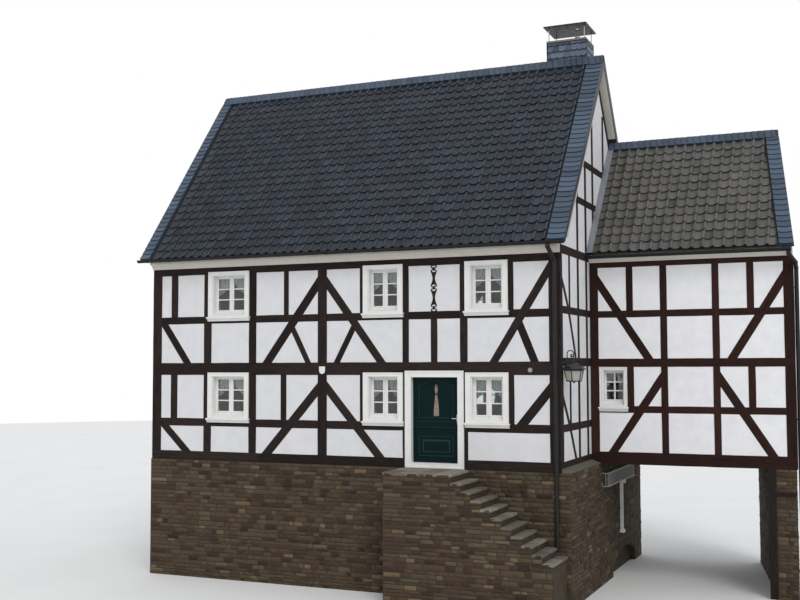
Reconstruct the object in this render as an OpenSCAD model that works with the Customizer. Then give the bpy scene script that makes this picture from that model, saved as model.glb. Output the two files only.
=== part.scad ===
// Half timbered house with a bridging wing over a driveway.
// Origin: below the front right corner of the timber frame, at the lowest ground level.
// X runs along the front to the right, Y into the house, Z up. Millimetres.

/* [Main house] */
// Width of the timber front, from corner post to corner post
house_w = 11000; // [10700:10:12500]
// Depth of the timber frame, front to back
house_d = 7600; // [7200:10:8200]
// Height of the rubble stone base above the lowest ground
base_h = 2960; // [2600:10:3300]
// Thickness of the rubble stone base walls
base_t = 550; // [400:10:700]
// How far the stone base stands out in front of the timber
base_out_front = 30; // [10:5:60]
// How far the stone base stands out beyond the right gable
base_out_side = 200; // [120:10:300]

/* [Storeys] */
// Height of the sill beam
sill_h = 220; // [160:10:280]
// Height from the base to the underside of the ground storey rail
rail_low = 866; // [700:2:1000]
// Height of the ground storey rail
rail_low_h = 193; // [140:1:220]
// Height from the base to the underside of the mid beam
mid_z = 2175; // [2120:5:2400]
// Height of the mid beam
mid_h = 300; // [240:10:340]
// Height from the base to the underside of the upper storey rail
rail_up = 3489; // [3350:1:3600]
// Height of the upper storey rail
rail_up_h = 178; // [140:1:200]
// Height from the base to the underside of the top plate
plate_z = 4755; // [4745:5:4900]
// Height of the top plate
plate_h = 173; // [140:1:220]

/* [Timber and infill] */
// Depth of the timbers, which is the thickness of the framed wall
timber_t = 180; // [140:5:220]
// Width of a corner post on the front
corner_w = 270; // [200:5:320]
// Width of a long brace where the front's lists give no other
brace_w = 190; // [140:5:220]
// Width of a thin brace on a gable
brace_thin = 140; // [100:5:160]
// Depth of the plaster behind the face of the timbers
recess = 12; // [5:1:25]
// Thickness of the plaster lining on the room side
lining_t = 25; // [15:1:40]
// Trowel joint between plaster and timber
joint = 0.4; // [0.2:0.1:0.8]
// Gap between sloping roof pieces
fit = 0.6; // [0.5:0.1:0.9]

/* [Windows] */
// Height of a window casing above its sill board
window_h = 1160; // [1100:10:1180]
// Height from the storey rail to the foot of a window casing
window_rise = 14; // [10:1:40]
// How much lower the windows of the upper storey sit on their rail
upper_drop = 30; // [0:5:40]
// Width of the casing boards
casing_w = 135; // [120:5:150]
// Thickness of the casing boards in front of the timber
casing_t = 30; // [20:1:40]
// Height of the sill board
board_h = 107; // [80:1:130]
// How far the sill board stands out from the timber
board_out = 85; // [50:5:120]
// Depth of the glass behind the face of the timber
glass_y = 150; // [120:5:155]
// Thickness of the sashes
sash_t = 40; // [30:1:50]
// Width of the sash stiles and rails
sash_w = 58; // [50:1:70]
// Width of the middle post with the two inner stiles
mullion_w = 125; // [100:5:140]
// Thickness of the glass
glass_t = 6; // [4:1:10]

/* [Front door] */
// Distance from the house corner to the right edge of the doorway
door_x = 2440; // [2430:5:2460]
// Clear width of the doorway
door_w = 1215; // [1100:5:1220]
// Clear height of the doorway
door_h = 2020; // [1990:5:2030]
// Height of the threshold above the stone base
threshold_h = 125; // [100:5:140]
// Width of the door casing
door_casing = 130; // [100:5:140]
// Thickness of the door lining boards
door_box = 40; // [30:1:40]
// Clearance round the door leaf
door_gap = 8; // [7:1:10]
// Thickness of the door leaf
leaf_t = 56; // [45:1:60]
// Depth of the leaf's outer face behind the face of the timber
leaf_y = 118; // [100:2:119]

/* [Main roof] */
// Pitch of the main roof in degrees
roof_pitch = 51.5; // [46:0.5:54]
// How far the roof stands out at the eaves
eaves_out = 330; // [250:10:400]
// How far the roof stands out at the gables
verge_out = 200; // [120:10:280]
// Thickness of the roof, square to its slope
roof_t = 200; // [160:5:240]
// Thickness of the roof's edge at the eaves
eaves_edge = 60; // [40:5:90]
// Thickness of the attic floor, which is the depth of the tie beams
attic_t = 192; // [150:2:220]
// Width of a strip of verge slates
verge_w = 410; // [300:10:500]
// Thickness of the verge and ridge slates
slate_t = 40; // [25:1:50]
// Half width of the ridge slates in plan
ridge_w = 190; // [120:10:260]

/* [Chimney] */
// Width of the chimney shaft
chimney_w = 1030; // [600:10:1100]
// Depth of the chimney shaft
chimney_d = 850; // [500:10:900]
// Distance from the house corner to the chimney's right side
chimney_x = 284; // [250:2:2000]
// Height of the shaft's top above the ridge
chimney_h = 560; // [400:10:900]
// Distance of the shaft's front face behind the ridge
chimney_back = 30; // [10:5:200]
// Thickness of the cover slab at the top of the shaft
chimney_slab = 50; // [30:5:80]
// Height of the open space below the cowl plate
cowl_gap = 355; // [200:5:400]
// How far the cowl plate stands out beyond the shaft
cowl_out = 80; // [60:10:220]

/* [Wing] */
// How far the wing's front stands back from the main front
wing_y = 2760; // [2600:10:3000]
// Width of the wing's front
wing_w = 4750; // [4600:10:5400]
// How much narrower the wing's back is, as its end wall runs askew
wing_taper = 870; // [600:10:1000]
// Pitch of the wing's roof in degrees
wing_pitch = 49.5; // [46:0.5:51]
// How far the wing's roof stands out at the eaves
wing_eaves = 310; // [250:10:340]
// Height of the beam that carries the wing's front
wing_sill_h = 287; // [240:1:320]
// Height from the base to the underside of the wing's lower rail
wing_low = 1240; // [1100:5:1300]
// Height of the wing's rails
wing_rail_h = 163; // [140:1:190]
// Height from the base to the underside of the wing's mid beam
wing_mid = 2352; // [2250:2:2420]
// Height of the wing's mid beam
wing_mid_h = 194; // [160:2:240]
// Height from the base to the underside of the wing's upper rail
wing_up = 3555; // [3400:5:3650]
// Height from the base to the underside of the wing's top plate
wing_plate = 4787; // [4785:1:4795]
// Height of the wing's top plate
wing_plate_h = 124; // [110:2:130]
// Thickness of the wing's end wall
end_t = 200; // [150:10:300]
// Distance from the gable to the post that carries the wing's far end
pier_x = 4095; // [3900:5:4100]
// Width of that post
pier_post_w = 180; // [140:5:220]
// Thickness of the stone wall behind it
pier_wall_t = 450; // [350:10:500]

/* [Entrance steps] */
// Rise of one step
step_rise = 180; // [160:5:200]
// Going of one step
step_going = 230; // [220:5:240]
// Width of the flight in front of the house
step_w = 1150; // [900:10:1300]
// Number of steps below the landing
step_count = 10; // [8:1:10]

/* [Eaves and rainwater] */
// Outer radius of the gutters
gutter_r = 70; // [50:1:80]
// Outer radius of the wing's gutters
wing_gutter_r = 78; // [50:1:80]
// Thickness of the gutters
gutter_t = 5; // [4:1:8]
// Radius of the downpipes
pipe_r = 50; // [35:1:60]
// How far the cornice stands out
cornice_out = 170; // [100:5:220]

/* [Wall lantern] */
// Height of the lantern's eaves above the stone base
lantern_z = 2300; // [2200:10:2400]
// Reach of the swan neck from the corner post
lantern_reach = 268; // [264:2:290]
// Width of the lantern's roof between its flat sides
lantern_w = 500; // [420:10:510]

/* [Hidden] */
$fn = 48;
big = 40000;
seat = 0.3;

// Levels
z_sill = base_h;
z_rail_low = base_h + rail_low;
z_mid = base_h + mid_z;
z_rail_up = base_h + rail_up;
z_plate = base_h + plate_z;
z_attic = z_plate + plate_h;
z_eaves = z_attic + attic_t;
z_threshold = base_h + threshold_h;
inner = timber_t + lining_t;
// Feet of the window casings in the ground storey and in the upper storey
window_feet = [z_rail_low + rail_low_h + window_rise,
    z_rail_up + rail_up_h + window_rise - upper_drop];

// Main roof lines in the plane across the house
half_d = house_d / 2;
roof_tan = tan(roof_pitch);
roof_v = roof_t / cos(roof_pitch);
function roof_top(y) = z_eaves + eaves_edge + roof_tan * (y + eaves_out);
function roof_under(y) = roof_top(y) - roof_v;
z_ridge = roof_top(half_d);
heel_w = 250;
heel_lap = 20;

// Wing levels and roof lines
wz_low = base_h + wing_low;
wz_mid = base_h + wing_mid;
wz_up = base_h + wing_up;
wz_plate = base_h + wing_plate;
wz_attic = wz_plate + wing_plate_h;
wing_attic_t = 180;
wz_eaves = wz_attic + wing_attic_t;
wing_edge = 50;
wing_roof_t = 180;
wing_half = (house_d - wing_y) / 2;
wing_tan = tan(wing_pitch);
wing_v = wing_roof_t / cos(wing_pitch);
function wing_top(d) = wz_eaves + wing_edge + wing_tan * (d + wing_eaves);
function wing_under(d) = wing_top(d) - wing_v;
wing_back_w = wing_w - wing_taper;
wing_skew = wing_taper / (house_d - wing_y);
function end_x(y) = wing_w - wing_skew * (y - wing_y);
verge_end = wing_y + wing_half - 120;

// Posts of the main front: distance from the house corner to the right edge, and width
post_i = [1100, 135];
post_h = [2220, 180];
post_carved = [2970, 160];
post_g = [3695, 160];
post_f = [4815, 160];
post_e = [5875, 245];
post_d = [6940, 135];
post_d_low = [7000, 160];
post_c = [7870, 210];
post_b = [9200, 220];
post_a = [10230, 200];

// Bays of the front with long braces, from the middle of one post to the middle of the next
function mid_of(p) = -p[0] - p[1] / 2;
front_bays = [[mid_of(post_c), mid_of(post_e)], [mid_of(post_e), mid_of(post_g)],
    [mid_of(post_h), -corner_w / 2]];
// Long brace of each bay: distances from the house corner at foot and head, and width
upper_braces = [[7592, 5832, 215], [4372, 6154, 190], [1613, 109, 180]];
ground_braces = [[7600, 5757, 215], [4414, 6185, 200], [1651, -54, 205]];
// Thin brace of each bay in the upper storey: distance at its foot, and width
thin_braces = [[6366, 142], [5631, 150], [592, 180]];
// Where a thin brace meets its long one, below the upper rail
thin_meet = 85;
// Short brace at the far corner: distances from that corner at foot and head, and how far
// its head reaches over the rail's underside
end_brace = [1110, 280, 100];
// How far the ends of a brace reach into the beams
lap = 50;

// Window casings of the main front: distance to the right edge, and width
casing_a = [8070, 1210];
casing_b = [3840, 1040];
casing_c = [1225, 1045];
casings = [casing_a, casing_b, casing_c];
casing_cover = 80;
casing_head = 90;
casing_foot = 42;
casing_low = 52;
casing_high = 100;
lining_step = 18;
sill_rise = 119;
board_wide = 28;
board_nose = 35;
// Trim of a window: casing board, sash stile, middle post, casing head, and how far the
// opening lies inside the casing's outline at the sides and at the head
main_trim = [casing_w, sash_w, mullion_w, casing_high, casing_cover, casing_head];

// Wing window and posts: distance from the gable to the left edge, and width
wing_post_w = 160;
wing_corner_w = 200;
wing_end_post = 220;
wing_half_a = 895;
wing_post_b = 1708;
wing_post_c = 2923;
wing_half_d = 3715;
wing_casing = [218, 675];
wing_window_z = wz_low + 135;
wing_window_h = 952;
wing_trim = [78, 38, 35, 55, 58, 38];
// Braces of the wing: distances at foot and head from the gable or, where the brace leans
// on the end bay, from that bay's posts
wing_brace_a = [1441, -54];
wing_brace_b = [252, 267];
wing_brace_c = [494, 1941];
wing_brace_d = [-270, -57];
wing_lap = 40;

// Gable posts: distance from the front to the post's near edge
gable_post_w = 180;
gable_posts = [1550, 2400, house_d - 2400 - gable_post_w, house_d - 1550 - gable_post_w];

timber_colour = [0.17, 0.12, 0.11];
plaster_colour = [0.93, 0.92, 0.91];
stone_colour = [0.42, 0.35, 0.28];
white_paint = [0.95, 0.94, 0.91];
slate_colour = [0.29, 0.34, 0.41];
tile_colour = [0.17, 0.18, 0.19];
metal_colour = [0.16, 0.14, 0.14];
door_colour = [0.05, 0.16, 0.15];

// Upright rectangle in the plane of a wall, grown by g on all sides
module bar(x0, x1, z0, z1, g = 0)
    translate([x0 - g, z0 - g]) square([x1 - x0 + 2 * g, z1 - z0 + 2 * g]);

// Sloping timber from its foot to its head, with level ends, w wide
module brace(foot, head, w, g = 0) {
    run = head[0] - foot[0];
    rise = head[1] - foot[1];
    half = (w / 2 + g) * norm([run, rise]) / abs(rise);
    polygon([[foot[0] - half, foot[1]], [foot[0] + half, foot[1]],
        [head[0] + half, head[1]], [head[0] - half, head[1]]]);
}

// Places a shape drawn in X and Z as a slab between two depths
module along_x(y0, y1) translate([0, y1, 0]) rotate([90, 0, 0]) linear_extrude(y1 - y0) children();

// Places a shape drawn in Y and Z as a slab between two distances along the front
module along_y(x0, x1) translate([x0, 0, 0]) rotate([90, 0, 90]) linear_extrude(x1 - x0) children();

// A post of the front, from its entry in the list
module front_post(p, z0, z1, g = 0) bar(-p[0] - p[1], -p[0], z0, z1, g);

// A brace that ends inside the posts of its bay, and not lower than a level
module bay_brace(foot, head, w, bay, low, g) intersection() {
    brace(foot, head, w, g);
    bar(bay[0], bay[1], low, head[1], g);
}

// Structural openings of the windows in one storey, above the foot of their casings
module window_holes(foot) for (c = casings) bar(-c[0] - c[1] + casing_cover, -c[0] - casing_cover,
    foot + casing_foot, foot + window_h - casing_head);

// Timbers of the upper storey of a long wall
module upper_members(g = 0, carved = true) {
    z0 = z_mid;
    top = z_attic;
    rail_top = z_rail_up + rail_up_h;
    bar(-house_w, 0, z0, z0 + mid_h, g);
    bar(-house_w, 0, z_rail_up, rail_top, g);
    bar(-house_w, 0, z_plate, top, g);
    bar(-corner_w, 0, z0, top, g);
    bar(-house_w, -house_w + corner_w, z0, top, g);
    for (p = [post_b, post_c, post_e, post_g, post_h]) front_post(p, z0, top, g);
    for (p = [post_a, post_d, post_f, post_i]) front_post(p, rail_top - 1, top, g);
    front_post(post_carved, z0, z_rail_up + 1, g);
    foot_z = z0 + mid_h - lap;
    head_z = z_plate + lap;
    meet_z = z_rail_up - thin_meet;
    for (k = [0:2]) {
        b = upper_braces[k];
        meet_x = -b[0] + (b[0] - b[1]) * (meet_z - foot_z) / (head_z - foot_z);
        bay_brace([-b[0], foot_z], [-b[1], head_z], b[2], front_bays[k], foot_z, g);
        brace([-thin_braces[k][0], foot_z], [meet_x, meet_z], thin_braces[k][1], g);
    }
    brace([-house_w + end_brace[0], foot_z], [-house_w + end_brace[1], z_rail_up + end_brace[2]],
        brace_w, g);
}

// Timbers of the ground storey of a long wall
module ground_members(g = 0) {
    rail_top = z_rail_low + rail_low_h;
    bar(-house_w, 0, z_sill, z_sill + sill_h, g);
    bar(-house_w, 0, z_rail_low, rail_top, g);
    bar(-corner_w, 0, z_sill, z_mid + 1, g);
    bar(-house_w, -house_w + corner_w, z_sill, z_mid + 1, g);
    for (p = [post_b, post_c, post_e, post_g, post_h]) front_post(p, z_sill, z_mid + 1, g);
    for (p = [post_a, post_d_low, post_f, post_i]) front_post(p, rail_top - 1, z_mid + 1, g);
    foot_z = z_sill + sill_h - lap;
    lows = [foot_z, foot_z, z_rail_low + lap];
    for (k = [0:2]) bay_brace([-ground_braces[k][0], foot_z], [-ground_braces[k][1], z_mid + lap],
        ground_braces[k][2], front_bays[k], lows[k], g);
    brace([-house_w + end_brace[0], foot_z], [-house_w + end_brace[1], z_rail_low + end_brace[2]],
        brace_w, g);
}

// One storey of frame, from x0 to x1, with its window openings
module storey_frame(x0, x1, z0, z1, foot, y0) color(timber_colour)
    along_x(y0, y0 + timber_t) difference() {
        intersection() {
            children();
            bar(x0, x1, z0, z1);
        }
        window_holes(foot);
    }

// Plaster of one storey: panels between the timbers, on a lining on the room side
module storey_infill(x0, x1, z0, z1, foot, outer_y, room_y) color(plaster_colour) {
    panel_y = outer_y < room_y ? outer_y + recess : outer_y - recess;
    face_y = outer_y < room_y ? outer_y + timber_t : outer_y - timber_t;
    union() {
        along_x(min(panel_y, face_y), max(panel_y, face_y)) difference() {
            bar(x0, x1, z0, z1);
            children();
            window_holes(foot);
        }
        along_x(min(face_y, room_y), max(face_y, room_y)) difference() {
            bar(max(x0, -house_w + timber_t), min(x1, -timber_t), z0, z1);
            window_holes(foot);
        }
    }
}

door_left = -door_x - door_w;
door_top = z_threshold + door_h;
door_hole_left = door_left - door_box;
door_hole_right = -door_x + door_box;

module front_frame_upper()
    storey_frame(-house_w, 0, z_mid, z_attic, window_feet[1], 0) upper_members();
module front_frame_ground_left()
    storey_frame(-house_w, door_hole_left, z_sill, z_mid, window_feet[0], 0)
        ground_members();
module front_frame_ground_right()
    storey_frame(door_hole_right, 0, z_sill, z_mid, window_feet[0], 0)
        ground_members();

module front_infill_upper()
    storey_infill(-house_w, 0, z_mid, z_attic, window_feet[1], 0, inner) {
        union() {
            upper_members(joint);
            front_post(post_carved, z_rail_up, z_plate + 1, joint);
        }
    }
module front_infill_ground_left()
    storey_infill(-house_w, door_hole_left, z_sill, z_mid, window_feet[0], 0, inner)
        ground_members(joint);
module front_infill_ground_right()
    storey_infill(door_hole_right, 0, z_sill, z_mid, window_feet[0], 0, inner)
        ground_members(joint);

module back_members(g = 0) {
    upper_members(g);
    front_post(post_carved, z_rail_up, z_attic, g);
    ground_members(g);
}
module back_holes() for (foot = window_feet) window_holes(foot);
module back_frame() color(timber_colour)
    along_x(house_d - timber_t, house_d) difference() {
        intersection() {
            back_members();
            bar(-house_w, 0, z_sill, z_attic);
        }
        back_holes();
    }
module back_infill() color(plaster_colour) union() {
    along_x(house_d - timber_t, house_d - recess) difference() {
        bar(-house_w, 0, z_sill, z_attic);
        back_members(joint);
        back_holes();
    }
    along_x(house_d - inner, house_d - timber_t) difference() {
        bar(-house_w + timber_t, -timber_t, z_sill, z_attic);
        back_holes();
    }
}

// Carved ornamental post: pierced blocks with a waisted spindle between each pair
module carved_post() color(timber_colour) {
    z0 = z_rail_up + rail_up_h;
    z1 = z_plate;
    w = post_carved[1];
    mid = -post_carved[0] - w / 2;
    block = (z1 - z0) * 0.18;
    spindle = (z1 - z0 - 3 * block) / 2;
    depth = 90;
    union() {
        for (k = [0:2]) {
            zc = z0 + block / 2 + k * (block + spindle);
            difference() {
                translate([mid - w / 2, 0, zc - block / 2]) cube([w, depth, block]);
                for (s = [-1, 1]) translate([mid + s * w * 0.75, -1, zc])
                    rotate([-90, 0, 0]) cylinder(r = w * 0.42, h = depth + 2);
                translate([mid, -1, zc]) rotate([-90, 0, 0]) cylinder(r = w * 0.17, h = depth + 2);
            }
        }
        for (k = [0:1]) {
            zs = z0 + block + k * (block + spindle);
            translate([mid, depth / 2, zs]) rotate_extrude()
                polygon([[0, 0], [w * 0.17, 0], [w * 0.17, spindle * 0.08],
                    [w * 0.1, spindle * 0.3], [w * 0.2, spindle * 0.5],
                    [w * 0.1, spindle * 0.7], [w * 0.17, spindle * 0.92],
                    [w * 0.17, spindle], [0, spindle]]);
        }
    }
}

// Outline of a gable wall above the stone base, cut g below the roof
module gable_outline(edge) polygon([[edge, z_sill], [house_d - edge, z_sill],
    [house_d - edge, z_attic], [house_d, z_attic], [house_d, roof_under(0) - fit],
    [half_d, roof_under(half_d) - fit], [0, roof_under(0) - fit], [0, z_attic], [edge, z_attic]]);

z_gable_low = z_rail_low + 24;
z_gable_mid = z_mid + 45;
z_gable_up = z_rail_up + 77;
attic_rail_a = 1150;
attic_rail_b = 2130;
gable_rail_h = 170;
// Half the distance between the two middle posts, and the braces of the end bays: distance
// of their heads from the corner post, and their runs in the ground and the upper storey
gable_mid_off = 600;
gable_brace_in = 130;
gable_brace_runs = [1300, 1900];
gable_lap = 60;

// Pair of rafters along the upper edge of a gable wall, from the tie beam to the top
rafter_v = 260;
rafter_foot = 90;
module gable_rafters(g = 0) {
    foot_z = z_eaves - 50;
    polygon([[0, foot_z], [rafter_foot + g, foot_z],
        [half_d, roof_under(half_d) - rafter_v - 2 * g], [house_d - rafter_foot - g, foot_z],
        [house_d, foot_z], [house_d, roof_under(0) + 50], [half_d, roof_under(half_d) + 50],
        [0, roof_under(0) + 50]]);
}

// Timbers of a gable wall
module gable_members(g = 0) {
    bar(0, house_d, z_sill, z_sill + sill_h + 9, g);
    bar(0, house_d, z_gable_low, z_gable_low + gable_rail_h, g);
    bar(0, house_d, z_gable_mid, z_gable_mid + mid_h, g);
    bar(0, house_d, z_gable_up, z_gable_up + gable_rail_h, g);
    bar(0, house_d, z_attic, z_eaves, g);
    bar(0, house_d, z_eaves + attic_rail_a, z_eaves + attic_rail_a + gable_rail_h, g);
    bar(0, house_d, z_eaves + attic_rail_b, z_eaves + attic_rail_b + gable_rail_h, g);
    for (y = gable_posts) bar(y, y + gable_post_w, z_sill, z_eaves + attic_rail_b, g);
    for (s = [-1, 1]) bar(half_d + s * gable_mid_off - gable_post_w / 2,
        half_d + s * gable_mid_off + gable_post_w / 2, z_sill, z_ridge, g);
    for (side = [-1, 1]) {
        y = half_d + side * (half_d - timber_t - gable_brace_in);
        brace([y - side * gable_brace_runs[1], z_gable_mid + mid_h - lap],
            [y, z_attic - gable_lap], brace_thin, g);
        brace([y - side * gable_brace_runs[0], z_sill + sill_h - lap],
            [y, z_gable_mid + gable_lap], brace_thin, g);
    }
    gable_rafters(g);
}

// Gable wall frame between two distances along the front
module gable_frame(x0) color(timber_colour) along_y(x0, x0 + timber_t)
    intersection() {
        gable_members();
        gable_outline(timber_t);
    }

// Gable wall plaster; side is 1 where the outer face looks to +X
module gable_infill(outer_x, side) color(plaster_colour) {
    a = outer_x - side * recess;
    b = outer_x - side * timber_t;
    c = outer_x - side * inner;
    union() {
        along_y(min(a, b), max(a, b)) difference() {
            gable_outline(timber_t);
            gable_members(joint);
        }
        along_y(min(b, c), max(b, c)) gable_outline(inner);
    }
}
module right_gable_frame() gable_frame(-timber_t);
module left_gable_frame() gable_frame(-house_w);
module right_gable_infill() gable_infill(0, 1);
module left_gable_infill() gable_infill(-house_w, -1);

// Stone base, with a low arched recess at the foot of its right wall
arch_y = 5420;
arch_half = 1360;
arch_top = 570;
arch_r = 3138;
arch_deep = 140;
base_right = base_out_side;
base_front = -base_out_front;
base_back = house_d + base_out_front;
module stone(x0, x1, y0, y1, z1 = base_h) color(stone_colour)
    translate([x0, y0, 0]) cube([x1 - x0, y1 - y0, z1]);
module base_front_wall() stone(-house_w, base_right, base_front, base_front + base_t);
module base_back_wall() stone(-house_w, base_right, base_back - base_t, base_back);
module base_left_wall()
    stone(-house_w, -house_w + base_t, base_front + base_t, base_back - base_t);
module base_right_wall() difference() {
    stone(base_right - base_t, base_right, base_front + base_t, base_back - base_t);
    along_y(base_right - arch_deep, base_right + 1) intersection() {
        translate([arch_y, arch_top - arch_r]) circle(r = arch_r);
        bar(arch_y - arch_half, arch_y + arch_half, -1, arch_top + 1);
    }
}

// Barred cage on the base's right wall, and the white strut below it
cage_y = [2980, 6180];
cage_z = [2370, 2710];
cage_out = 150;
cage_bar = 22;
cage_thin = 14;
cage_pitch = 120;
module base_grille() color(metal_colour) union() {
    x1 = base_right + cage_out;
    thin = (cage_bar - cage_thin) / 2;
    for (z = [cage_z[0], cage_z[1] - cage_bar]) {
        slab(x1 - cage_bar, x1, cage_y[0], cage_y[1], z, z + cage_bar);
        for (y = [cage_y[0], cage_y[1] - cage_bar])
            slab(base_right, x1, y, y + cage_bar, z, z + cage_bar);
    }
    for (y = [cage_y[0] : cage_pitch : cage_y[1] - cage_bar]) slab(x1 - cage_bar + thin, x1 - thin,
        y + thin, y + cage_bar - thin, cage_z[0] + 1, cage_z[1] - 1);
    for (y = [cage_y[0], cage_y[1] - cage_bar])
        slab(base_right + cage_out / 2, base_right + cage_out / 2 + cage_thin,
            y + thin, y + cage_bar - thin, cage_z[0] + 1, cage_z[1] - 1);
}
strut_y = 4900;
strut_w = 90;
strut_t = 80;
strut_foot = [1000, 1080];
strut_foot_out = 30;
module base_strut() color(white_paint) union() {
    top = cage_z[0] - seat;
    slab(base_right, base_right + strut_t, strut_y, strut_y + strut_w, strut_foot[1], top);
    slab(base_right, base_right + cage_out, strut_y, strut_y + strut_w, top - strut_w, top);
    slab(base_right, base_right + strut_t + strut_foot_out, strut_y - strut_foot_out,
        strut_y + strut_w + strut_foot_out, strut_foot[0], strut_foot[1]);
}

// Sloping slate ledge on the part of the base that stands out beside the gable
module base_ledge() color(slate_colour) translate([0, wing_y, 0]) rotate([90, 0, 0])
    linear_extrude(wing_y - base_front)
        polygon([[0, base_h], [base_right + 20, base_h], [base_right + 20, base_h + 15],
            [0, base_h + 95]]);

// Masonry flight along the front and the landing before the door
landing_x1 = -door_x + door_casing + 100;
landing_x0 = door_left - door_casing - 60;
landing_z = base_h - 10;
module entrance_steps() color(stone_colour) translate([0, base_front, 0]) rotate([90, 0, 0])
    linear_extrude(step_w) polygon(concat(
        [[landing_x0, 0], [landing_x0, landing_z], [landing_x1, landing_z]],
        [for (k = [1:step_count]) for (p = [0, 1])
            [landing_x1 + (k - 1 + p) * step_going, landing_z - k * step_rise]],
        [[landing_x1 + step_count * step_going, 0]]));

// Floors
module slab(x0, x1, y0, y1, z0, z1) translate([x0, y0, z0]) cube([x1 - x0, y1 - y0, z1 - z0]);
floor_t = 180;
module ground_floor() color(timber_colour)
    slab(-house_w + inner, -inner, inner, house_d - inner, base_h, z_threshold - 5);

// Plan of the wing between two depths, x_in short of the outer face of its end wall
module wing_plan(y0, y1, x_in) polygon([[0, y0], [end_x(y0) - x_in, y0],
    [end_x(y1) - x_in, y1], [0, y1]]);
module upper_floor() color(timber_colour) {
    slab(-house_w + inner, -inner, inner, house_d - inner, z_mid + mid_h - floor_t, z_mid + mid_h);
    translate([0, 0, wz_mid + wing_mid_h - floor_t]) linear_extrude(floor_t)
        wing_plan(wing_y + inner, house_d - inner, end_t + fit);
}
module attic_floor() color(timber_colour) {
    slab(-house_w + inner, -inner, 0, house_d, z_attic, z_eaves);
    translate([0, 0, wz_attic]) linear_extrude(wing_attic_t) wing_plan(wing_y, house_d, 0);
}

// Widths from a casing's outline to its lining and to its panes: sides, foot, head
function lining_in(trim) = [trim[0] + lining_step, sill_rise, trim[3] + lining_step];
function pane_in(trim) = lining_in(trim) + [trim[1], sash_w, sash_w];

// Window: casing boards, lining, sloping inner sill, two casements and a moulded sill board
module window_unit(x0, x1, z0, z1, trim = main_trim) {
    module outline(a) bar(x0 + a[0], x1 - a[0], z0 + a[1], z1 - a[2]);
    lining = lining_in(trim);
    middle = (x0 + x1) / 2;
    sash_y = glass_y - sash_t / 2;
    union() {
        along_x(-casing_t, 0) difference() {
            outline([0, 0, 0]);
            outline([trim[0], casing_low, trim[3]]);
        }
        along_x(0, timber_t) difference() {
            outline([trim[4], casing_foot, trim[5]]);
            outline([lining[0], casing_foot - 1, lining[2]]);
        }
        along_y(x0 + lining[0], x1 - lining[0]) polygon([[0, z0 + casing_foot],
            [timber_t, z0 + casing_foot], [timber_t, z0 + sill_rise], [sash_y, z0 + sill_rise],
            [0, z0 + casing_low]]);
        along_x(sash_y, sash_y + sash_t) {
            difference() {
                outline(lining);
                outline(pane_in(trim));
            }
            bar(middle - trim[2] / 2, middle + trim[2] / 2, z0 + lining[1], z1 - lining[2]);
        }
        along_y(x0 - board_wide, x1 + board_wide) bar(-board_out, 0, z0 - board_nose, z0);
        along_y(x0 - board_wide / 2, x1 + board_wide / 2) polygon([[-casing_t, z0 - board_h],
            [0, z0 - board_h], [0, z0 - board_nose], [-board_out * 0.85, z0 - board_nose],
            [-board_out * 0.6, z0 - board_h * 0.62], [-casing_t, z0 - board_h * 0.88]]);
    }
}

// The two panes of a window
module window_panes(x0, x1, z0, z1, trim = main_trim) {
    inset = pane_in(trim);
    middle = (x0 + x1) / 2;
    for (s = [[x0 + inset[0], middle - trim[2] / 2], [middle + trim[2] / 2, x1 - inset[0]]])
        along_x(glass_y - glass_t / 2, glass_y + glass_t / 2)
            bar(s[0], s[1], z0 + inset[1], z1 - inset[2]);
}

// Calls its child once for each window place of the main front
module front_windows() color(white_paint) for (c = casings, z = window_feet)
    window_unit(-c[0] - c[1], -c[0], z, z + window_h);
module to_back() translate([0, house_d, 0]) mirror([0, 1, 0]) children();
module back_windows() color(white_paint) to_back() for (c = casings, z = window_feet)
    window_unit(-c[0] - c[1], -c[0], z, z + window_h);
module to_wing() translate([0, wing_y, 0]) children();
module wing_window_place() window_unit(wing_casing[0], wing_casing[0] + wing_casing[1],
    wing_window_z, wing_window_z + wing_window_h, wing_trim);
module wing_windows() color(white_paint) {
    to_wing() wing_window_place();
    to_back() wing_window_place();
}
module wing_panes() window_panes(wing_casing[0], wing_casing[0] + wing_casing[1],
    wing_window_z, wing_window_z + wing_window_h, wing_trim);
module window_glass() color([0.5, 0.58, 0.62]) {
    for (c = casings, z = window_feet) {
        window_panes(-c[0] - c[1], -c[0], z, z + window_h);
        to_back() window_panes(-c[0] - c[1], -c[0], z, z + window_h);
    }
    to_wing() wing_panes();
    to_back() wing_panes();
}

// Front door
leaf_x0 = door_left + door_gap;
leaf_x1 = -door_x - door_gap;
leaf_z0 = z_threshold + door_gap;
leaf_z1 = door_top - door_gap;
leaf_back = leaf_y + leaf_t;
stop_w = 22;
frame_back = leaf_back - 5;
pin_x = leaf_x0 - 4;
pin_y = leaf_back + 12;
pin_r = 5;
pin_play = 0.05;
barrel_r = 11;
hinge_h = 70;
hinge_z = [leaf_z0 + 230, leaf_z1 - 300];

module doorway(y0, y1, w) along_x(y0, y1)
    bar(door_left + w, -door_x - w, z_threshold, door_top - w);
module door_frame() color(white_paint) difference() {
    union() {
        along_x(-casing_t, 0) bar(door_left - door_casing, -door_x + door_casing,
            z_sill, door_top + door_casing);
        along_x(0, frame_back) bar(door_hole_left, door_hole_right, z_sill, z_mid);
    }
    doorway(-casing_t - 1, frame_back + 1, stop_w);
    doorway(leaf_y - 6, frame_back + 1, 0);
}

// Iron pintles on the lining: a bracket and a standing pin for each hinge
module door_pintles() color(metal_colour) for (z = hinge_z) union() {
    slab(leaf_x0 - 40, leaf_x0 - 16, frame_back, pin_y + 6, z - 14, z);
    slab(leaf_x0 - 40, pin_x + 6, pin_y - 6, pin_y + 6, z - 14, z);
    translate([pin_x, pin_y, z - 1]) cylinder(r = pin_r, h = hinge_h + 8);
}

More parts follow.
